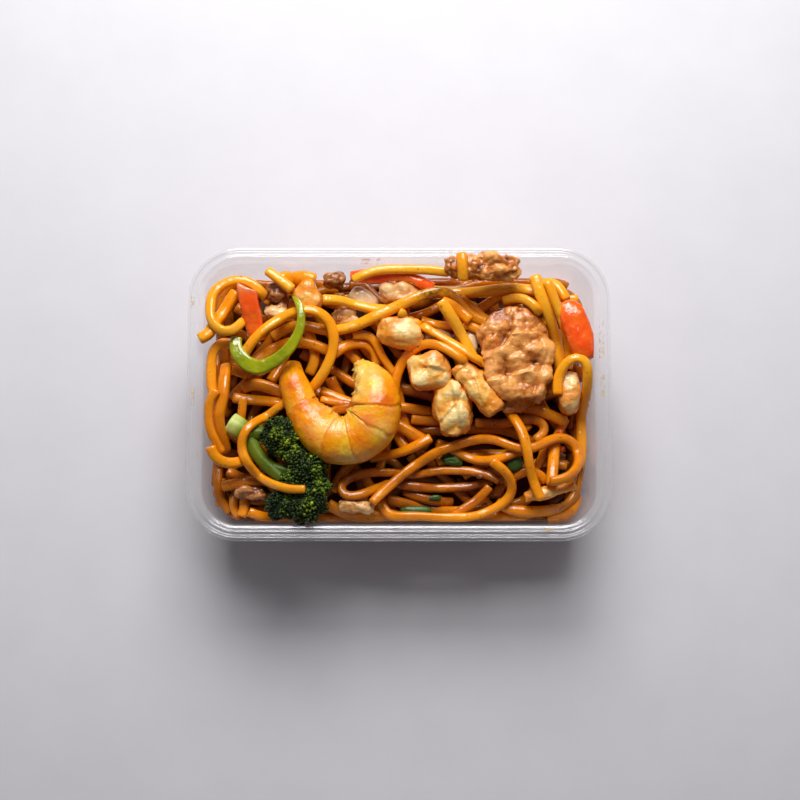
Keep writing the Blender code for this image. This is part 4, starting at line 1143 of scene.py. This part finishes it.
def folds(p, lines):
    """Sheets of meat that lap over each other: a step along each line, high on its left side."""
    height = 0.0
    for start, end, step in lines:
        a, b = Vector(start), Vector(end)
        way = (b - a).normalized()
        off = p.xy - a
        along, gap = off.dot(way), way.x * off.y - way.y * off.x
        past = max(-along, along - (b - a).length, 0.0)
        reach = FOLD_HIGH_REACH if gap > 0 else FOLD_LOW_REACH
        fade = math.exp(-(past / FOLD_END_REACH) ** 2 - abs(gap) / reach)
        height += step * math.tanh(gap / FOLD_STEP) * fade
    return height


def meat_relief(seed, lumps, deep, grain, lines, brown_shift):
    """Relief of a cooked piece: round lobes with creases between, fine grain, and listed folds."""
    shift = Vector((seed * 13.1, seed * 5.7, seed * 3.3))

    def relief(p, normal):
        """How far a point moves out, its painted light and shade by relief, and its browning."""
        q = Vector((p.x * 0.75, p.y, p.z)) + shift
        lobe = 2.2 * math.hypot(noise.noise(q / lumps), 0.07)
        lesser = 2.2 * math.hypot(noise.noise(q / (lumps * 0.5)), 0.08)
        small = fractal(p + shift, lumps * 0.2, 2)
        side = 1.0 - max(normal.z, 0.0)
        sheet = folds(p, lines) * max(normal.z, 0.0)
        out = deep * (lobe - 0.5 + 0.22 * (lesser - 0.5)) + grain * small * (1.0 + side) + sheet
        # Painted light on the lobes and on each fold's high side, painted shade in the creases
        value = 0.18 + 0.45 * lobe + 0.3 * lesser + 0.12 * small + 0.2 * sheet
        brown = brown_shift + 0.22 + 0.4 * fractal(p * 0.8 - shift * 3, lumps, 2) + 0.6 * side ** 1.5
        return out, (min(max(value, 0.0), 1.0), min(max(brown, 0.0), 1.0), 0.0)

    return relief


# The upper left chicken piece's torn tip: where it starts, its length, its middle line's start
# and lean, and how much it narrows and sinks
TIP_FROM = 40.5
TIP_LENGTH = 9.5
TIP_MIDDLE = -38.5
TIP_LEAN = 4.5
TIP_NARROWING = 0.72
TIP_SINK = 1.5


def pointed(p):
    """Narrow the upper left chicken piece towards its torn tip."""
    share = min(max((p.y - TIP_FROM) / TIP_LENGTH, 0.0), 1.0)
    middle = TIP_MIDDLE + TIP_LEAN * share
    x = middle + (p.x - middle) * (1.0 - TIP_NARROWING * share)
    return Vector((x, p.y, p.z - TIP_SINK * share))


# The upper beef piece's shift
BEEF_SHIFT = 1.2


def nearer(p):
    """Shift the upper beef piece a little towards the noodles that it lies on."""
    return Vector((p.x, p.y - BEEF_SHIFT, p.z))


# The right pepper piece: its middle in the part and here, how much it widens, and the wall's x
PEPPER_FROM = (71.0, 27.0)
PEPPER_TO = (71.8, 25.6)
PEPPER_STRETCH = (1.22, 1.10)
PEPPER_WALL = 78.9


def broad(p):
    """Widen the right pepper piece, which leans on the wall."""
    x = PEPPER_TO[0] + (p.x - PEPPER_FROM[0]) * PEPPER_STRETCH[0]
    y = PEPPER_TO[1] + (p.y - PEPPER_FROM[1]) * PEPPER_STRETCH[1]
    return Vector((min(x, PEPPER_WALL), y, p.z))


# Folds that are traced: where each starts and ends, and its step
BEEF_FOLDS = (
    ((57.5, 24.5), (46.0, 24.2), 1.1), ((46.0, 24.2), (41.5, 18.0), 1.3), ((41.5, 18.0), (34.0, 14.0), 1.3),
    ((55.0, 11.0), (50.8, 8.7), 1.0), ((50.8, 8.7), (37.5, 5.2), 1.2), ((59.4, 12.5), (55.0, 0.0), 0.9),
    ((46.4, 31.5), (45.4, 24.0), 0.8), ((41.0, 27.0), (36.0, 21.0), 0.7), ((53.0, 18.5), (47.0, 15.0), 0.5),
)
ROLL_FOLDS = (((22.0, 7.0), (26.5, 10.5), 0.5), ((30.0, 8.0), (33.0, -3.0), 0.5))
LOWER_FOLDS = (
    ((21.0, 3.0), (25.0, -14.0), 0.9), ((17.5, -11.0), (22.0, -6.0), 0.7), ((26.0, 2.0), (24.0, -6.0), 0.6),
)
MIDDLE_FOLDS = (
    ((10.5, 17.5), (11.5, 10.0), 0.9), ((11.5, 10.0), (18.0, 8.5), 0.9), ((11.5, 10.0), (6.0, 4.0), 0.8),
)


# Looks of the meats: creases, middle and ridges, whose dark and light are painted shade and painted light,
# then the sear with its share, and the roughness
MEAT_LOOKS = {
    "fried_chicken_look": (
        (0.84, 0.28, 0.018), (1.0, 0.52, 0.10), (1.0, 0.74, 0.31), (0.88, 0.27, 0.006), 0.66, 0.18),
    "cooked_beef_look": (
        (0.10, 0.018, 0.002), (0.58, 0.175, 0.020), (0.94, 0.43, 0.11), (0.38, 0.085, 0.004), 0.50, 0.15),
    "dark_beef_look": (
        (0.08, 0.016, 0.002), (0.30, 0.09, 0.015), (0.58, 0.24, 0.07), (0.14, 0.028, 0.003), 0.4, 0.2),
    "cooked_pork_look": (
        (0.38, 0.12, 0.018), (0.74, 0.36, 0.10), (0.92, 0.60, 0.28), (0.50, 0.14, 0.010), 0.35, 0.2),
}

# Node, look, slot, size of its lumps, depth of them and of its grain, folds, extra browning
MEATS = (
    ("beef_large", "cooked_beef_look", "cooked_beef", 10.0, 1.5, 0.36, BEEF_FOLDS, 0.0),
    ("beef_top", "cooked_beef_look", "cooked_beef", 6.5, 1.9, 0.4, (), -0.24),
    ("beef_left_dark", "dark_beef_look", "cooked_beef", 5.0, 1.2, 0.2, (), 0.0),
    ("beef_left_pale", "cooked_pork_look", "cooked_beef", 5.0, 1.2, 0.25, (), 0.0),
    ("beef_small", "dark_beef_look", "cooked_beef", 5.0, 1.0, 0.2, (), 0.0),
    ("beef_lower", "dark_beef_look", "cooked_beef", 5.0, 1.0, 0.25, (), 0.1),
    ("pork_minced", "cooked_pork_look", "cooked_pork", 4.0, 1.3, 0.3, (), 0.05),
    ("pork_upper", "cooked_pork_look", "cooked_pork", 7.0, 1.2, 0.2, (), -0.1),
    ("pork_lower", "cooked_pork_look", "cooked_pork", 6.0, 0.9, 0.2, (), 0.05),
    ("chicken_upper", "fried_chicken_look", "fried_chicken", 12.0, 1.4, 0.16, (), 0.08),
    ("chicken_middle", "fried_chicken_look", "fried_chicken", 11.0, 1.2, 0.16, MIDDLE_FOLDS, 0.14),
    ("chicken_roll", "fried_chicken_look", "fried_chicken", 10.0, 1.2, 0.18, ROLL_FOLDS, 0.16),
    ("chicken_lower", "fried_chicken_look", "fried_chicken", 11.0, 1.3, 0.2, LOWER_FOLDS, 0.0),
    ("chicken_left", "fried_chicken_look", "fried_chicken", 10.0, 1.2, 0.18, (), 0.14),
    ("chicken_right", "fried_chicken_look", "fried_chicken", 9.0, 1.1, 0.18, (), 0.25),
    ("chicken_strip", "fried_chicken_look", "fried_chicken", 8.0, 0.8, 0.16, (), 0.42),
)


def build_meats():
    """Chicken, beef and pork: fine copies of the CAD solids with folds and browning."""
    looks = {name: meat_finish(name, *look) for name, look in MEAT_LOOKS.items()}
    for seed, (node, look, slot, lumps, deep, grain, lines, brown) in enumerate(MEATS):
        voxel = LARGE_VOXEL if node == "beef_large" else FINE_VOXEL
        reshape = {"chicken_left": pointed, "beef_top": nearer}.get(node)
        relief = meat_relief(seed + 3, lumps, deep, grain, lines, brown)
        sculpted(node, looks[look], slot, voxel, relief, SOFT_ROUNDS, reshape)


# Looks of the peppers: the skin's lowest and highest colour, the flesh, and how wet it is
PEPPER_LOOKS = {
    "red_pepper_look": ((0.98, 0.075, 0.003), (1.0, 0.19, 0.008), (0.95, 0.34, 0.16), 0.5),
    "green_pepper_look": ((0.22, 0.27, 0.001), (0.42, 0.44, 0.002), (0.62, 0.60, 0.04), 0.5),
    "deep_green_look": ((0.02, 0.06, 0.004), (0.06, 0.13, 0.008), (0.2, 0.3, 0.06), 0.0),
}


def build_vegetables():
    """Pepper strips and onion, from the CAD solids, with shiny skin and cut edges."""
    red, green, deep_green = [pepper_finish(name, *look) for name, look in PEPPER_LOOKS.items()]
    onion = onion_finish()

    def skin(seed, deep):
        """Gentle relief of a smooth skin, painted as uncut."""
        shift = Vector((seed * 9.1, seed * 2.7, 0.0))
        return lambda p, normal: (deep * fractal(p + shift, 7.0, 2), (0.0, 0.0, 0.0))

    for node, finish, slot, seed, deep, smooth, reshape in (
        ("red_pepper_top", red, "red_pepper_skin", 2, 0.3, SKIN_ROUNDS, None),
        ("red_pepper_right", red, "red_pepper_skin", 3, 0.35, SOFT_ROUNDS, broad),
        ("green_pepper_lower", deep_green, "green_pepper_skin", 5, 0.2, SKIN_ROUNDS, None),
        ("green_pepper_right", deep_green, "green_pepper_skin", 6, 0.25, SKIN_ROUNDS, None),
        ("onion_upper", onion, "soft_onion", 7, 0.3, SKIN_ROUNDS, None),
        ("onion_middle", onion, "soft_onion", 8, 0.3, SKIN_ROUNDS, None),
        ("onion_right", onion, "soft_onion", 9, 0.3, SKIN_ROUNDS, None),
    ):
        sculpted(node, finish, slot, SKIN_VOXEL, skin(seed, deep), smooth, reshape)
    build_strip("green_pepper_curl", "green_pepper_skin", green, GREEN_CURL, 4.4, 0.0, -1.0)
    build_strip("red_pepper_left", "red_pepper_skin", red, RED_SLAB, 5.0, 2.2, 0.0)


# Pepper strips: middle line and width from one end to the other
GREEN_CURL = (
    (-43.1, 38.8, 53.0, 0.8), (-40.7, 35.7, 54.0, 2.8), (-39.6, 31.4, 54.4, 3.2), (-39.9, 26.0, 54.4, 3.8),
    (-42.1, 20.6, 54.0, 4.3), (-45.9, 15.7, 53.5, 4.8), (-50.9, 11.9, 52.8, 5.3), (-56.4, 9.9, 51.8, 5.9),
    (-61.0, 11.4, 50.8, 6.1), (-64.5, 14.8, 49.8, 5.9), (-66.3, 19.0, 48.8, 5.2), (-66.0, 22.6, 47.8, 4.4),
)
RED_SLAB = (
    (-62.0, 43.0, 52.0, 7.8), (-60.9, 36.5, 50.8, 7.8), (-59.2, 29.0, 48.5, 7.4), (-57.6, 22.2, 45.6, 6.8),
)
STRIP_SIDES = 32
STRIP_POWER = 4.5
STRIP_STEP = 0.5


def build_strip(node, slot, finish, rows, tall, slant, pale):
    """A cut strip of pepper: square edges, a slanting start, paler flesh on its pale side, and painted shade
    on its lower side.
    """
    rows = spline(rows, STRIP_STEP)
    line, wide = rows[:, :3], rows[:, 3]
    ahead = frames(line, UP)[0][0]
    rings = tube_rings(line, UP, wide, np.minimum(tall, wide * 1.1), STRIP_SIDES, STRIP_POWER)
    shape = section(STRIP_SIDES, STRIP_POWER)
    shades = []
    for k, ring in enumerate(rings):
        reach = k * STRIP_STEP
        for j, (side, height) in enumerate(shape):
            p = ring[j] + ahead * slant * side * math.exp(-reach / 4.0)
            soft, fine = fractal(Vector(p), 6.0, 2), fractal(Vector(p), 1.6)
            ring[j] = p + np.array((0.0, 0.0, 0.35 * soft + 0.08 * fine)) * max(height, -0.2)
            # Cut flesh shows on the pale side, or else at the first end
            cut = max(side * pale - 0.72, 0.0) * 2.2 if pale else 0.75 * math.exp(-(reach / 2.6) ** 4)
            # Darker by soft noise, and painted shade on the lower side
            dim_and_shade = max(0.35 * soft, 0.0) - 0.25 * min(height, 0.0)
            shades.append((min(cut + 0.1 * max(fine, 0.0), 1.0), dim_and_shade, 0.0))
    shades = np.array(shades)
    shades = np.vstack([shades, shades[:1], shades[-1:]])
    mesh = mesh_from(node + "_detail", capped(rings), ring_faces(len(rings), STRIP_SIDES), shades)
    return new_object(node + "_detail", mesh, finish, node, slot)


# Prawn: middle line from the tail to the cut head end, with its radius there
PRAWN_LINE = (
    (-43.0, 13.0, 3.0), (-43.2, 6.0, 5.9), (-41.3, 0.0, 6.7), (-38.5, -7.0, 7.4),
    (-34.5, -13.5, 8.6), (-27.5, -18.8, 9.9), (-18.5, -19.0, 10.4), (-11.2, -13.5, 10.8),
    (-9.2, -5.0, 10.4), (-10.0, 2.0, 9.0), (-13.5, 8.0, 6.2), (-16.5, 12.0, 3.4),
)
PRAWN_FLAT = 0.84

# Places where its bands meet
PRAWN_GROOVES = ((-39.0, -4.4), (-29.6, -19.5), (-20.4, -19.2), (-12.8, -13.6), (-10.6, -7.3))

# Patches of cream flesh, some of them painted highlights on the top, and of deep orange: middle, reach and
# strength
PRAWN_PALE_AND_HIGHLIGHTS = (
    (-18.0, -27.5, 9.0, 3.0, 0.8), (-7.0, -16.0, 4.0, 3.5, 0.7), (-33.0, -15.5, 3.5, 3.0, 0.5),
    (-24.5, -15.5, 3.0, 3.0, 0.5), (-15.0, 0.0, 6.0, 4.0, 0.6), (-15.0, 9.0, 7.0, 5.0, 0.8),
)
PRAWN_DEEP = (
    (-6.0, -5.0, 4.5, 4.5, 0.5), (-43.0, 2.0, 6.0, 8.0, 0.22), (-36.0, -18.0, 5.0, 5.0, 0.15),
    (-14.0, -17.0, 4.0, 4.0, 0.15), (-4.0, 2.0, 3.0, 3.0, 0.2),
)
PRAWN_SIDES = 56
PRAWN_STEP = 0.36
PRAWN_POWER = 2.1
PRAWN_LIFT = 1.2
PRAWN_CLEAR = 0.3

# Shares of the way from the tail: where the belly starts to be torn, and the cut head end
TORN_FROM = 0.22
TORN_OVER = 0.08
HEAD_FROM = 0.84
HEAD_OVER = 0.16


def patches(p, spots):
    """Strength of listed patches of colour at a point."""
    return sum(spot[4] * bump(p[0], p[1], *spot[:4]) for spot in spots)


def build_prawn(finish):
    """The peeled prawn: bands of flesh that lap over each other, ragged along the belly."""
    rows = spline(PRAWN_LINE, PRAWN_STEP)
    height = bed(rows[:, 0], rows[:, 1]) + PRAWN_LIFT + rows[:, 2] * PRAWN_FLAT
    line = np.column_stack([rows[:, :2], height])
    ahead, across, over = frames(line, UP)
    shape = section(PRAWN_SIDES, PRAWN_POWER)
    points, shades = [], []
    last = len(line) - 1
    reach = np.concatenate([[0.0], np.cumsum(np.linalg.norm(np.diff(line[:, :2], axis=0), axis=1))])
    grooves = [reach[np.argmin(np.hypot(line[:, 0] - x, line[:, 1] - y))] for x, y in PRAWN_GROOVES]
    for i in range(last + 1):
        travel = i / last
        ragged = max(travel - HEAD_FROM, 0.0) / HEAD_OVER
        torn = min(max((travel - TORN_FROM) / TORN_OVER, 0.0), 1.0)
        for side, height in shape:
            radius = rows[i, 2]
            p = line[i] + (over[i] * height - across[i] * side) * radius * 0.9
            rough, fine = fractal(Vector(p), 5.0), fractal(Vector(p), 1.5)
            belly, back = max(-side, 0.0), max(side, 0.0)
            # The grooves wander a little, and bow forwards over the back
            run = travel * reach[-1] + 1.0 * rough - 1.4 * back * back
            # Each band is highest just past a groove, and pale just before the next one
            gaps = [run - place for place in grooves]
            groove = max(math.exp(-(gap / 0.28) ** 2) for gap in gaps)
            step = max(math.exp(-gap / 2.2) if gap > 0 else 0.0 for gap in gaps)
            before = max(math.exp(gap / 1.6) if gap < 0 else 0.0 for gap in gaps)
            # Bands and grooves, then the surface's relief and the head end, then the torn belly
            radius *= 0.955 + 0.040 * step - 0.030 * groove - 0.22 * groove * belly ** 2
            radius += 0.16 * rough + 0.06 * fine + ragged * (1.5 * rough + 0.9 * fine)
            radius += torn * belly ** 4 * (1.7 * max(fine, 0.0) + 2.2 * rough)
            p = line[i] + (over[i] * height * PRAWN_FLAT - across[i] * side) * radius
            p[2] = max(p[2], bed(p[0], p[1]) + PRAWN_CLEAR)
            points.append(p)
            # Its three painted values: orange from cream, white flesh with some painted highlights, and red
            # lines
            orange = 0.44 + 0.42 * rough + 0.34 * step - 0.22 * before - 0.12 * belly * torn
            orange += patches(p, PRAWN_DEEP)
            white = 0.3 * torn * belly * (0.5 + rough)
            white += 0.36 * before * max(0.4 + rough + 0.5 * belly, 0.0)
            # Cream patches, some of them painted highlights on the top
            white += patches(p, PRAWN_PALE_AND_HIGHLIGHTS) * (0.8 + 0.5 * rough - 0.3 * step)
            red = 0.4 * groove * (0.6 + 0.8 * rough) + 0.3 * max(rough * fine * 3.0, 0.0)
            shades.append((orange, min(max(white, 0.0), 0.9), min(max(red, 0.0), 1.0)))
    rings = np.array(points).reshape(-1, PRAWN_SIDES, 3)
    shades = np.array(shades)
    shades = np.vstack([shades, shades[:1], shades[-1:]])
    mesh = mesh_from("prawn_detail", capped(rings), ring_faces(len(rings), PRAWN_SIDES), shades)
    return new_object("prawn_detail", mesh, finish, "prawn", "cooked_prawn")


# Broccoli: its heads as middle and size, and the number of groups of buds on each
BROCCOLI_HEADS = (
    ((-47.5, -17.5, 46.0), (15.5, 16.5, 13.5), 12), ((-37.5, -31.5, 46.5), (14.5, 14.5, 13.5), 11),
    ((-47.0, -45.0, 45.5), (13.5, 13.0, 13.0), 10), ((-37.5, -44.5, 47.0), (16.5, 15.5, 14.5), 13),
    ((-42.5, -25.0, 45.0), (11.0, 11.0, 12.0), 8), ((-43.0, -38.5, 45.5), (13.0, 12.0, 12.5), 9),
    ((-33.5, -38.0, 45.5), (10.5, 11.0, 12.5), 8),
)

# Size and colour of the dark domes as shares of the heads, their colour a dark green painted near black as
# the shade between the groups of buds, then the groups of buds: how far out they stand, their size and
# brightness, and the buds' number, size and scatter
DOME_SHARE = 0.86
DOME_SHADE_COLOUR = 0.12
GROUP_SHARE = 0.70
GROUP_REACH = (0.28, 0.50)
GROUP_BRIGHTNESS = (0.0, 0.62)
BUDS_A_GROUP = 62
BUD_SIZE = (0.38, 0.82)
BUD_STRETCH = (0.7, 1.3)
BUD_REACH = (0.85, 1.15)
BUD_JITTER = 0.22

# Stalks: middle line, width at its start and end, and how pale each is
STALK_SIDES = 20
STALK_RIDGES = 5
BROCCOLI_STALKS = (
    (((-69, -11.5, 44.0), (-64, -14.5, 44.0), (-60, -18.0, 44.0)), (8.8, 8.2), 1.0),
    (((-63, -16.0, 44.2), (-55, -16.0, 44.8), (-49, -17.5, 45.0)), (6.4, 5.0), 0.30),
    (((-62, -16.0, 44.0), (-57, -25.0, 44.2), (-50, -32.0, 44.5), (-44, -38.0, 44.5)), (6.4, 5.0), 0.42),
    (((-55, -28.0, 44.0), (-47, -31.0, 45.0), (-41, -31.5, 45.5)), (4.4, 3.4), 0.22),
)


def ball_template():
    """Points and faces of a small ball, which every bud repeats."""
    bm = bmesh.new()
    bmesh.ops.create_icosphere(bm, subdivisions=1, radius=1.0)
    points = np.array([v.co for v in bm.verts])
    faces = np.array([[v.index for v in f.verts] for f in bm.faces])
    bm.free()
    return points, faces


def build_broccoli(finish):
    """Stalks, dark domes, and buds in groups over each dome."""
    rng = random.Random(11)
    points, faces, shades, total = [], [], [], 0

    def add(new_points, new_faces, new_shades):
        """Add a closed shell to the one mesh."""
        nonlocal total
        points.append(new_points)
        faces.extend((np.array(f) + total).tolist() for f in new_faces)
        shades.append(new_shades)
        total += len(new_points)

    for route, (start, end), pale in BROCCOLI_STALKS:
        line = spline(route, 0.6)
        share = np.linspace(0, 1, len(line))
        wide = start + (end - start) * share
        ribs = tube_rings(line, UP, wide, wide * 0.9, STALK_SIDES)
        middle = np.concatenate([[line[0]] * 2, line[1:-1], [line[-1]] * 2])
        out = ribs - middle[:, None, :]
        ridges = 1.0 + 0.05 * np.cos(np.arange(STALK_SIDES) * 2 * np.pi * STALK_RIDGES / STALK_SIDES)
        ribs = middle[:, None, :] + out * ridges[None, :, None]
        mesh_points = capped(ribs)
        run = np.linspace(0, 1, len(ribs))
        fade = pale * (0.40 + 0.60 * np.exp(-(run / 0.45) ** 3))
        value = np.zeros((len(mesh_points), 3))
        value[:, 1] = 1.0
        value[:-2, 2] = np.repeat(fade, STALK_SIDES)
        value[-2, 2] = min(1.0, pale + 0.2)
        add(mesh_points, ring_faces(len(ribs), STALK_SIDES), value)

    ball_points, ball_faces = ball_template()
    for middle, size, groups in BROCCOLI_HEADS:
        middle, half = np.array(middle), np.array(size) / 2
        bm = bmesh.new()
        bmesh.ops.create_icosphere(bm, subdivisions=4, radius=1.0)
        dome = np.array([v.co for v in bm.verts])
        dome_faces = [[v.index for v in f.verts] for f in bm.faces]
        bm.free()
        swell = np.array([1.0 + 0.1 * fractal(Vector(p) * 4 + Vector(middle), 1.6) for p in dome])
        value = np.zeros((len(dome), 3))
        # Painted shade: the dome under the buds is near black
        value[:, 0] = DOME_SHADE_COLOUR
        add(middle + dome * swell[:, None] * half * DOME_SHARE, dome_faces, value)
        turn = rng.uniform(0, FULL_TURN)
        for k in range(groups):
            height = 1.0 - 1.25 * (k + 0.4) / groups
            angle = turn + k * GOLDEN_ANGLE
            level = math.sqrt(max(1.0 - height ** 2, 0.0))
            way = np.array([level * math.cos(angle), level * math.sin(angle), height])
            centre = middle + way * half * GROUP_SHARE
            reach = half.mean() * rng.uniform(*GROUP_REACH)
            bright = rng.uniform(*GROUP_BRIGHTNESS)
            side = np.cross(way, (0.3, 0.2, 1.0))
            side /= np.linalg.norm(side)
            other = np.cross(way, side)
            for b in range(BUDS_A_GROUP):
                h = 1.0 - 1.1 * (b + 0.5) / BUDS_A_GROUP
                a = b * GOLDEN_ANGLE + k
                ring = math.sqrt(max(1.0 - h ** 2, 0.0))
                out = way * h + side * ring * math.cos(a) + other * ring * math.sin(a)
                jitter = np.array([rng.gauss(0, BUD_JITTER) for axis in range(3)])
                spot = centre + out * reach * rng.uniform(*BUD_REACH) + jitter
                bud = rng.uniform(*BUD_SIZE)
                value = np.zeros((len(ball_points), 3))
                # Buds low in their group are painted darker, as painted shade, on top of a random brightness
                value[:, 0] = min(max(bright * 0.8 + rng.gauss(0.06, 0.17) + 0.22 * (h - 0.4), 0.0), 1.0)
                stretch = np.array([rng.uniform(*BUD_STRETCH) for axis in range(3)])
                add(spot + ball_points * bud * stretch, ball_faces, value)
    mesh = mesh_from("broccoli_detail", np.vstack(points), faces, np.vstack(shades))
    return new_object("broccoli_detail", mesh, finish, "broccoli", "broccoli_green")


# Small bits that lie loose on the noodles: slot and look, then place from above, size and turn
BITS = (
    ("green_bits", "green_pepper_skin", "deep_green_look", (
        ((21.5, -26.2), (9.0, 4.5, 3.0), -12), ((67.0, -31.0), (5.0, 5.0, 3.0), 20),
        ((14.5, -41.3), (5.5, 2.2, 1.4), 8))),
    ("brown_bits", "cooked_beef", "dark_beef_look", (
        ((66.5, -24.0), (4.5, 3.5, 3.0), 30), ((-57.0, -38.5), (4.0, 2.5, 2.0), 40),
        ((26.0, -34.5), (5.0, 2.5, 2.0), -20), ((33.0, -33.0), (3.0, 2.0, 2.0), 10))),
    ("red_bits", "red_pepper_skin", "red_pepper_look", (
        ((67.0, -20.5), (3.5, 3.0, 2.5), 0), ((66.0, -14.5), (3.0, 2.2, 2.0), 40))),
    ("tan_bits", "cooked_pork", "fried_chicken_look", (
        ((-24.5, 41.5), (9.0, 4.8, 6.0), 0), ((-37.0, -3.5), (3.0, 2.0, 2.0), 10))),
)


def build_bits(field):
    """Lumpy bits, each set down on the heights of the heap."""
    for name, slot, look, rows in BITS:
        points, faces, total, shades = [], [], 0, []
        for seed, ((x0, y0), size, turn) in enumerate(rows):
            bm = bmesh.new()
            bmesh.ops.create_icosphere(bm, subdivisions=4, radius=0.5)
            ball = [v.co.copy() for v in bm.verts]
            new_faces = [[v.index + total for v in f.verts] for f in bm.faces]
            bm.free()
            angle = math.radians(turn)
            spot = field.spots(np.array([[x0, y0]]))
            rest = float(field.read(field.top, *spot)[0])
            for p in ball:
                bulge = 1.0 + 0.35 * fractal(p * 4 + Vector((seed * 5.0, x0, y0)), 1.2)
                x, y, z = (p.x * size[0] * bulge, p.y * size[1] * bulge, p.z * size[2] * bulge)
                points.append((
                    x0 + x * math.cos(angle) - y * math.sin(angle),
                    y0 + x * math.sin(angle) + y * math.cos(angle), rest + size[2] * 0.3 + z))
                # Painted light on the bulges and painted shade in the dents
                shades.append((min(max(bulge - 0.5, 0.0), 1.0), 0.5, 0.0))
            faces += new_faces
            total += len(ball)
        shades = np.array(shades)
        if "pepper" in slot:
            shades[:, :2] = 0.0
        mesh = mesh_from(name, np.array(points), faces, shades)
        new_object(name, mesh, bpy.data.materials[look], None, slot)


# Sauce smears on the rim: middle, length, width, turn
SMEARS = (
    ((82.3, 22.0), 16.0, 2.2, 90), ((82.6, 3.0), 9.0, 2.0, 90), ((-84.0, 37.0), 5.0, 1.8, 90),
    ((-83.6, -2.0), 7.0, 1.5, 90), ((-11.7, 54.4), 8.0, 2.0, 0), ((20.0, 56.8), 6.0, 1.6, 0),
    ((60.0, -55.5), 4.0, 1.6, 0),
)
SMEAR_STEPS = 24
SMEAR_ACROSS = 8
SMEAR_LIFT = 0.12


def build_smears(finish):
    """Thin skins that follow the rim."""
    points, faces = [], []
    rim = np.array(RIM_PROFILE)
    for (x0, y0), long, wide, turn in SMEARS:
        first = len(points)
        steps, across = SMEAR_STEPS, SMEAR_ACROSS
        angle = math.radians(turn)
        for i in range(steps + 1):
            for j in range(across + 1):
                u, v = (i / steps - 0.5) * long, (j / across - 0.5) * wide
                x = x0 + u * math.cos(angle) - v * math.sin(angle)
                y = y0 + u * math.sin(angle) + v * math.cos(angle)
                inset = max(min(RIM_HALF_X - abs(x), RIM_HALF_Y - abs(y)), 0.3)
                drop = float(np.interp(inset, rim[1:, 0] + np.arange(len(rim) - 1) * 1e-6, rim[1:, 1]))
                points.append((x, y, TRAY_HEIGHT - drop + SMEAR_LIFT))
        for i in range(steps):
            for j in range(across):
                a = first + i * (across + 1) + j
                faces.append([a, a + across + 1, a + across + 2, a + 1])
    mesh = mesh_from("sauce_smears", np.array(points), faces)
    return new_object("sauce_smears", mesh, finish, None, "fried_noodle")


# Stage, in metres and watts: each light has a place, a size, a power and a colour

FLOOR_SIZE = 1.6
CAMERA_PLACE = (0.0004, -0.12879, 0.89066)
CAMERA_TILT = 8.5
CAMERA_LENS = 94.6
LIGHT_AIM = (0.0, 0.0, 0.03)
LIGHTS = (
    ("key", (0.0, 0.50, 0.55), 0.40, 6.45, (1.0, 0.985, 0.985)),
    ("left", (-0.60, 0.05, 0.42), 0.3, 0.155, (0.97, 0.97, 1.0)),
    ("right", (0.60, 0.05, 0.42), 0.3, 0.155, (0.97, 0.97, 1.0)),
)
WORLD_COLOUR = (0.95, 0.92, 1.0, 1.0)
WORLD_STRENGTH = 0.099


def build_stage():
    """Floor, camera at the photo's angle, a key light behind the tray, and soft light around."""
    half = FLOOR_SIZE / 2 / MM
    corners = [(-half, -half, 0.0), (half, -half, 0.0), (half, half, 0.0), (-half, half, 0.0)]
    mesh = mesh_from("floor", corners, [[0, 1, 2, 3]])
    mesh.materials.append(floor_finish())
    floor = bpy.data.objects.new("floor", mesh)
    bpy.context.scene.collection.objects.link(floor)

    camera = bpy.data.objects.new("camera", bpy.data.cameras.new("camera"))
    camera.data.lens = CAMERA_LENS
    camera.data.clip_start = 0.01
    camera.location = CAMERA_PLACE
    camera.rotation_euler = (math.radians(CAMERA_TILT), 0.0, 0.0)
    bpy.context.scene.collection.objects.link(camera)
    bpy.context.scene.camera = camera

    for name, place, size, power, colour in LIGHTS:
        light = bpy.data.objects.new(name, bpy.data.lights.new(name, "AREA"))
        light.data.size = size
        light.data.energy = power
        light.data.color = colour
        light.location = place
        aim = Vector(LIGHT_AIM) - Vector(place)
        light.rotation_euler = aim.to_track_quat("-Z", "Y").to_euler()
        bpy.context.scene.collection.objects.link(light)

    world = bpy.data.worlds.new("soft_light")
    world.use_nodes = True
    background = world.node_tree.nodes["Background"]
    background.inputs["Color"].default_value = WORLD_COLOUR
    background.inputs["Strength"].default_value = WORLD_STRENGTH
    bpy.context.scene.world = world
    bpy.context.scene.view_settings.view_transform = "Standard"


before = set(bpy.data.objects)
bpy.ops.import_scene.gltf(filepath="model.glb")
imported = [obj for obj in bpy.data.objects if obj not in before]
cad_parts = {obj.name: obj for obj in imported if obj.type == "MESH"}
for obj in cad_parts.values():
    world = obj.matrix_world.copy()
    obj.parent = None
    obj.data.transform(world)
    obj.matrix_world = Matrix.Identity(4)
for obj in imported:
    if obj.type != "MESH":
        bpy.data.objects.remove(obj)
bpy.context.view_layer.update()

build_tray(tray_finish())
build_core(core_finish())
heap = build_noodles(noodle_finish())
build_meats()
build_vegetables()
build_prawn(prawn_finish())
build_broccoli(broccoli_finish())
build_bits(heap)
build_smears(smear_finish())
build_stage()
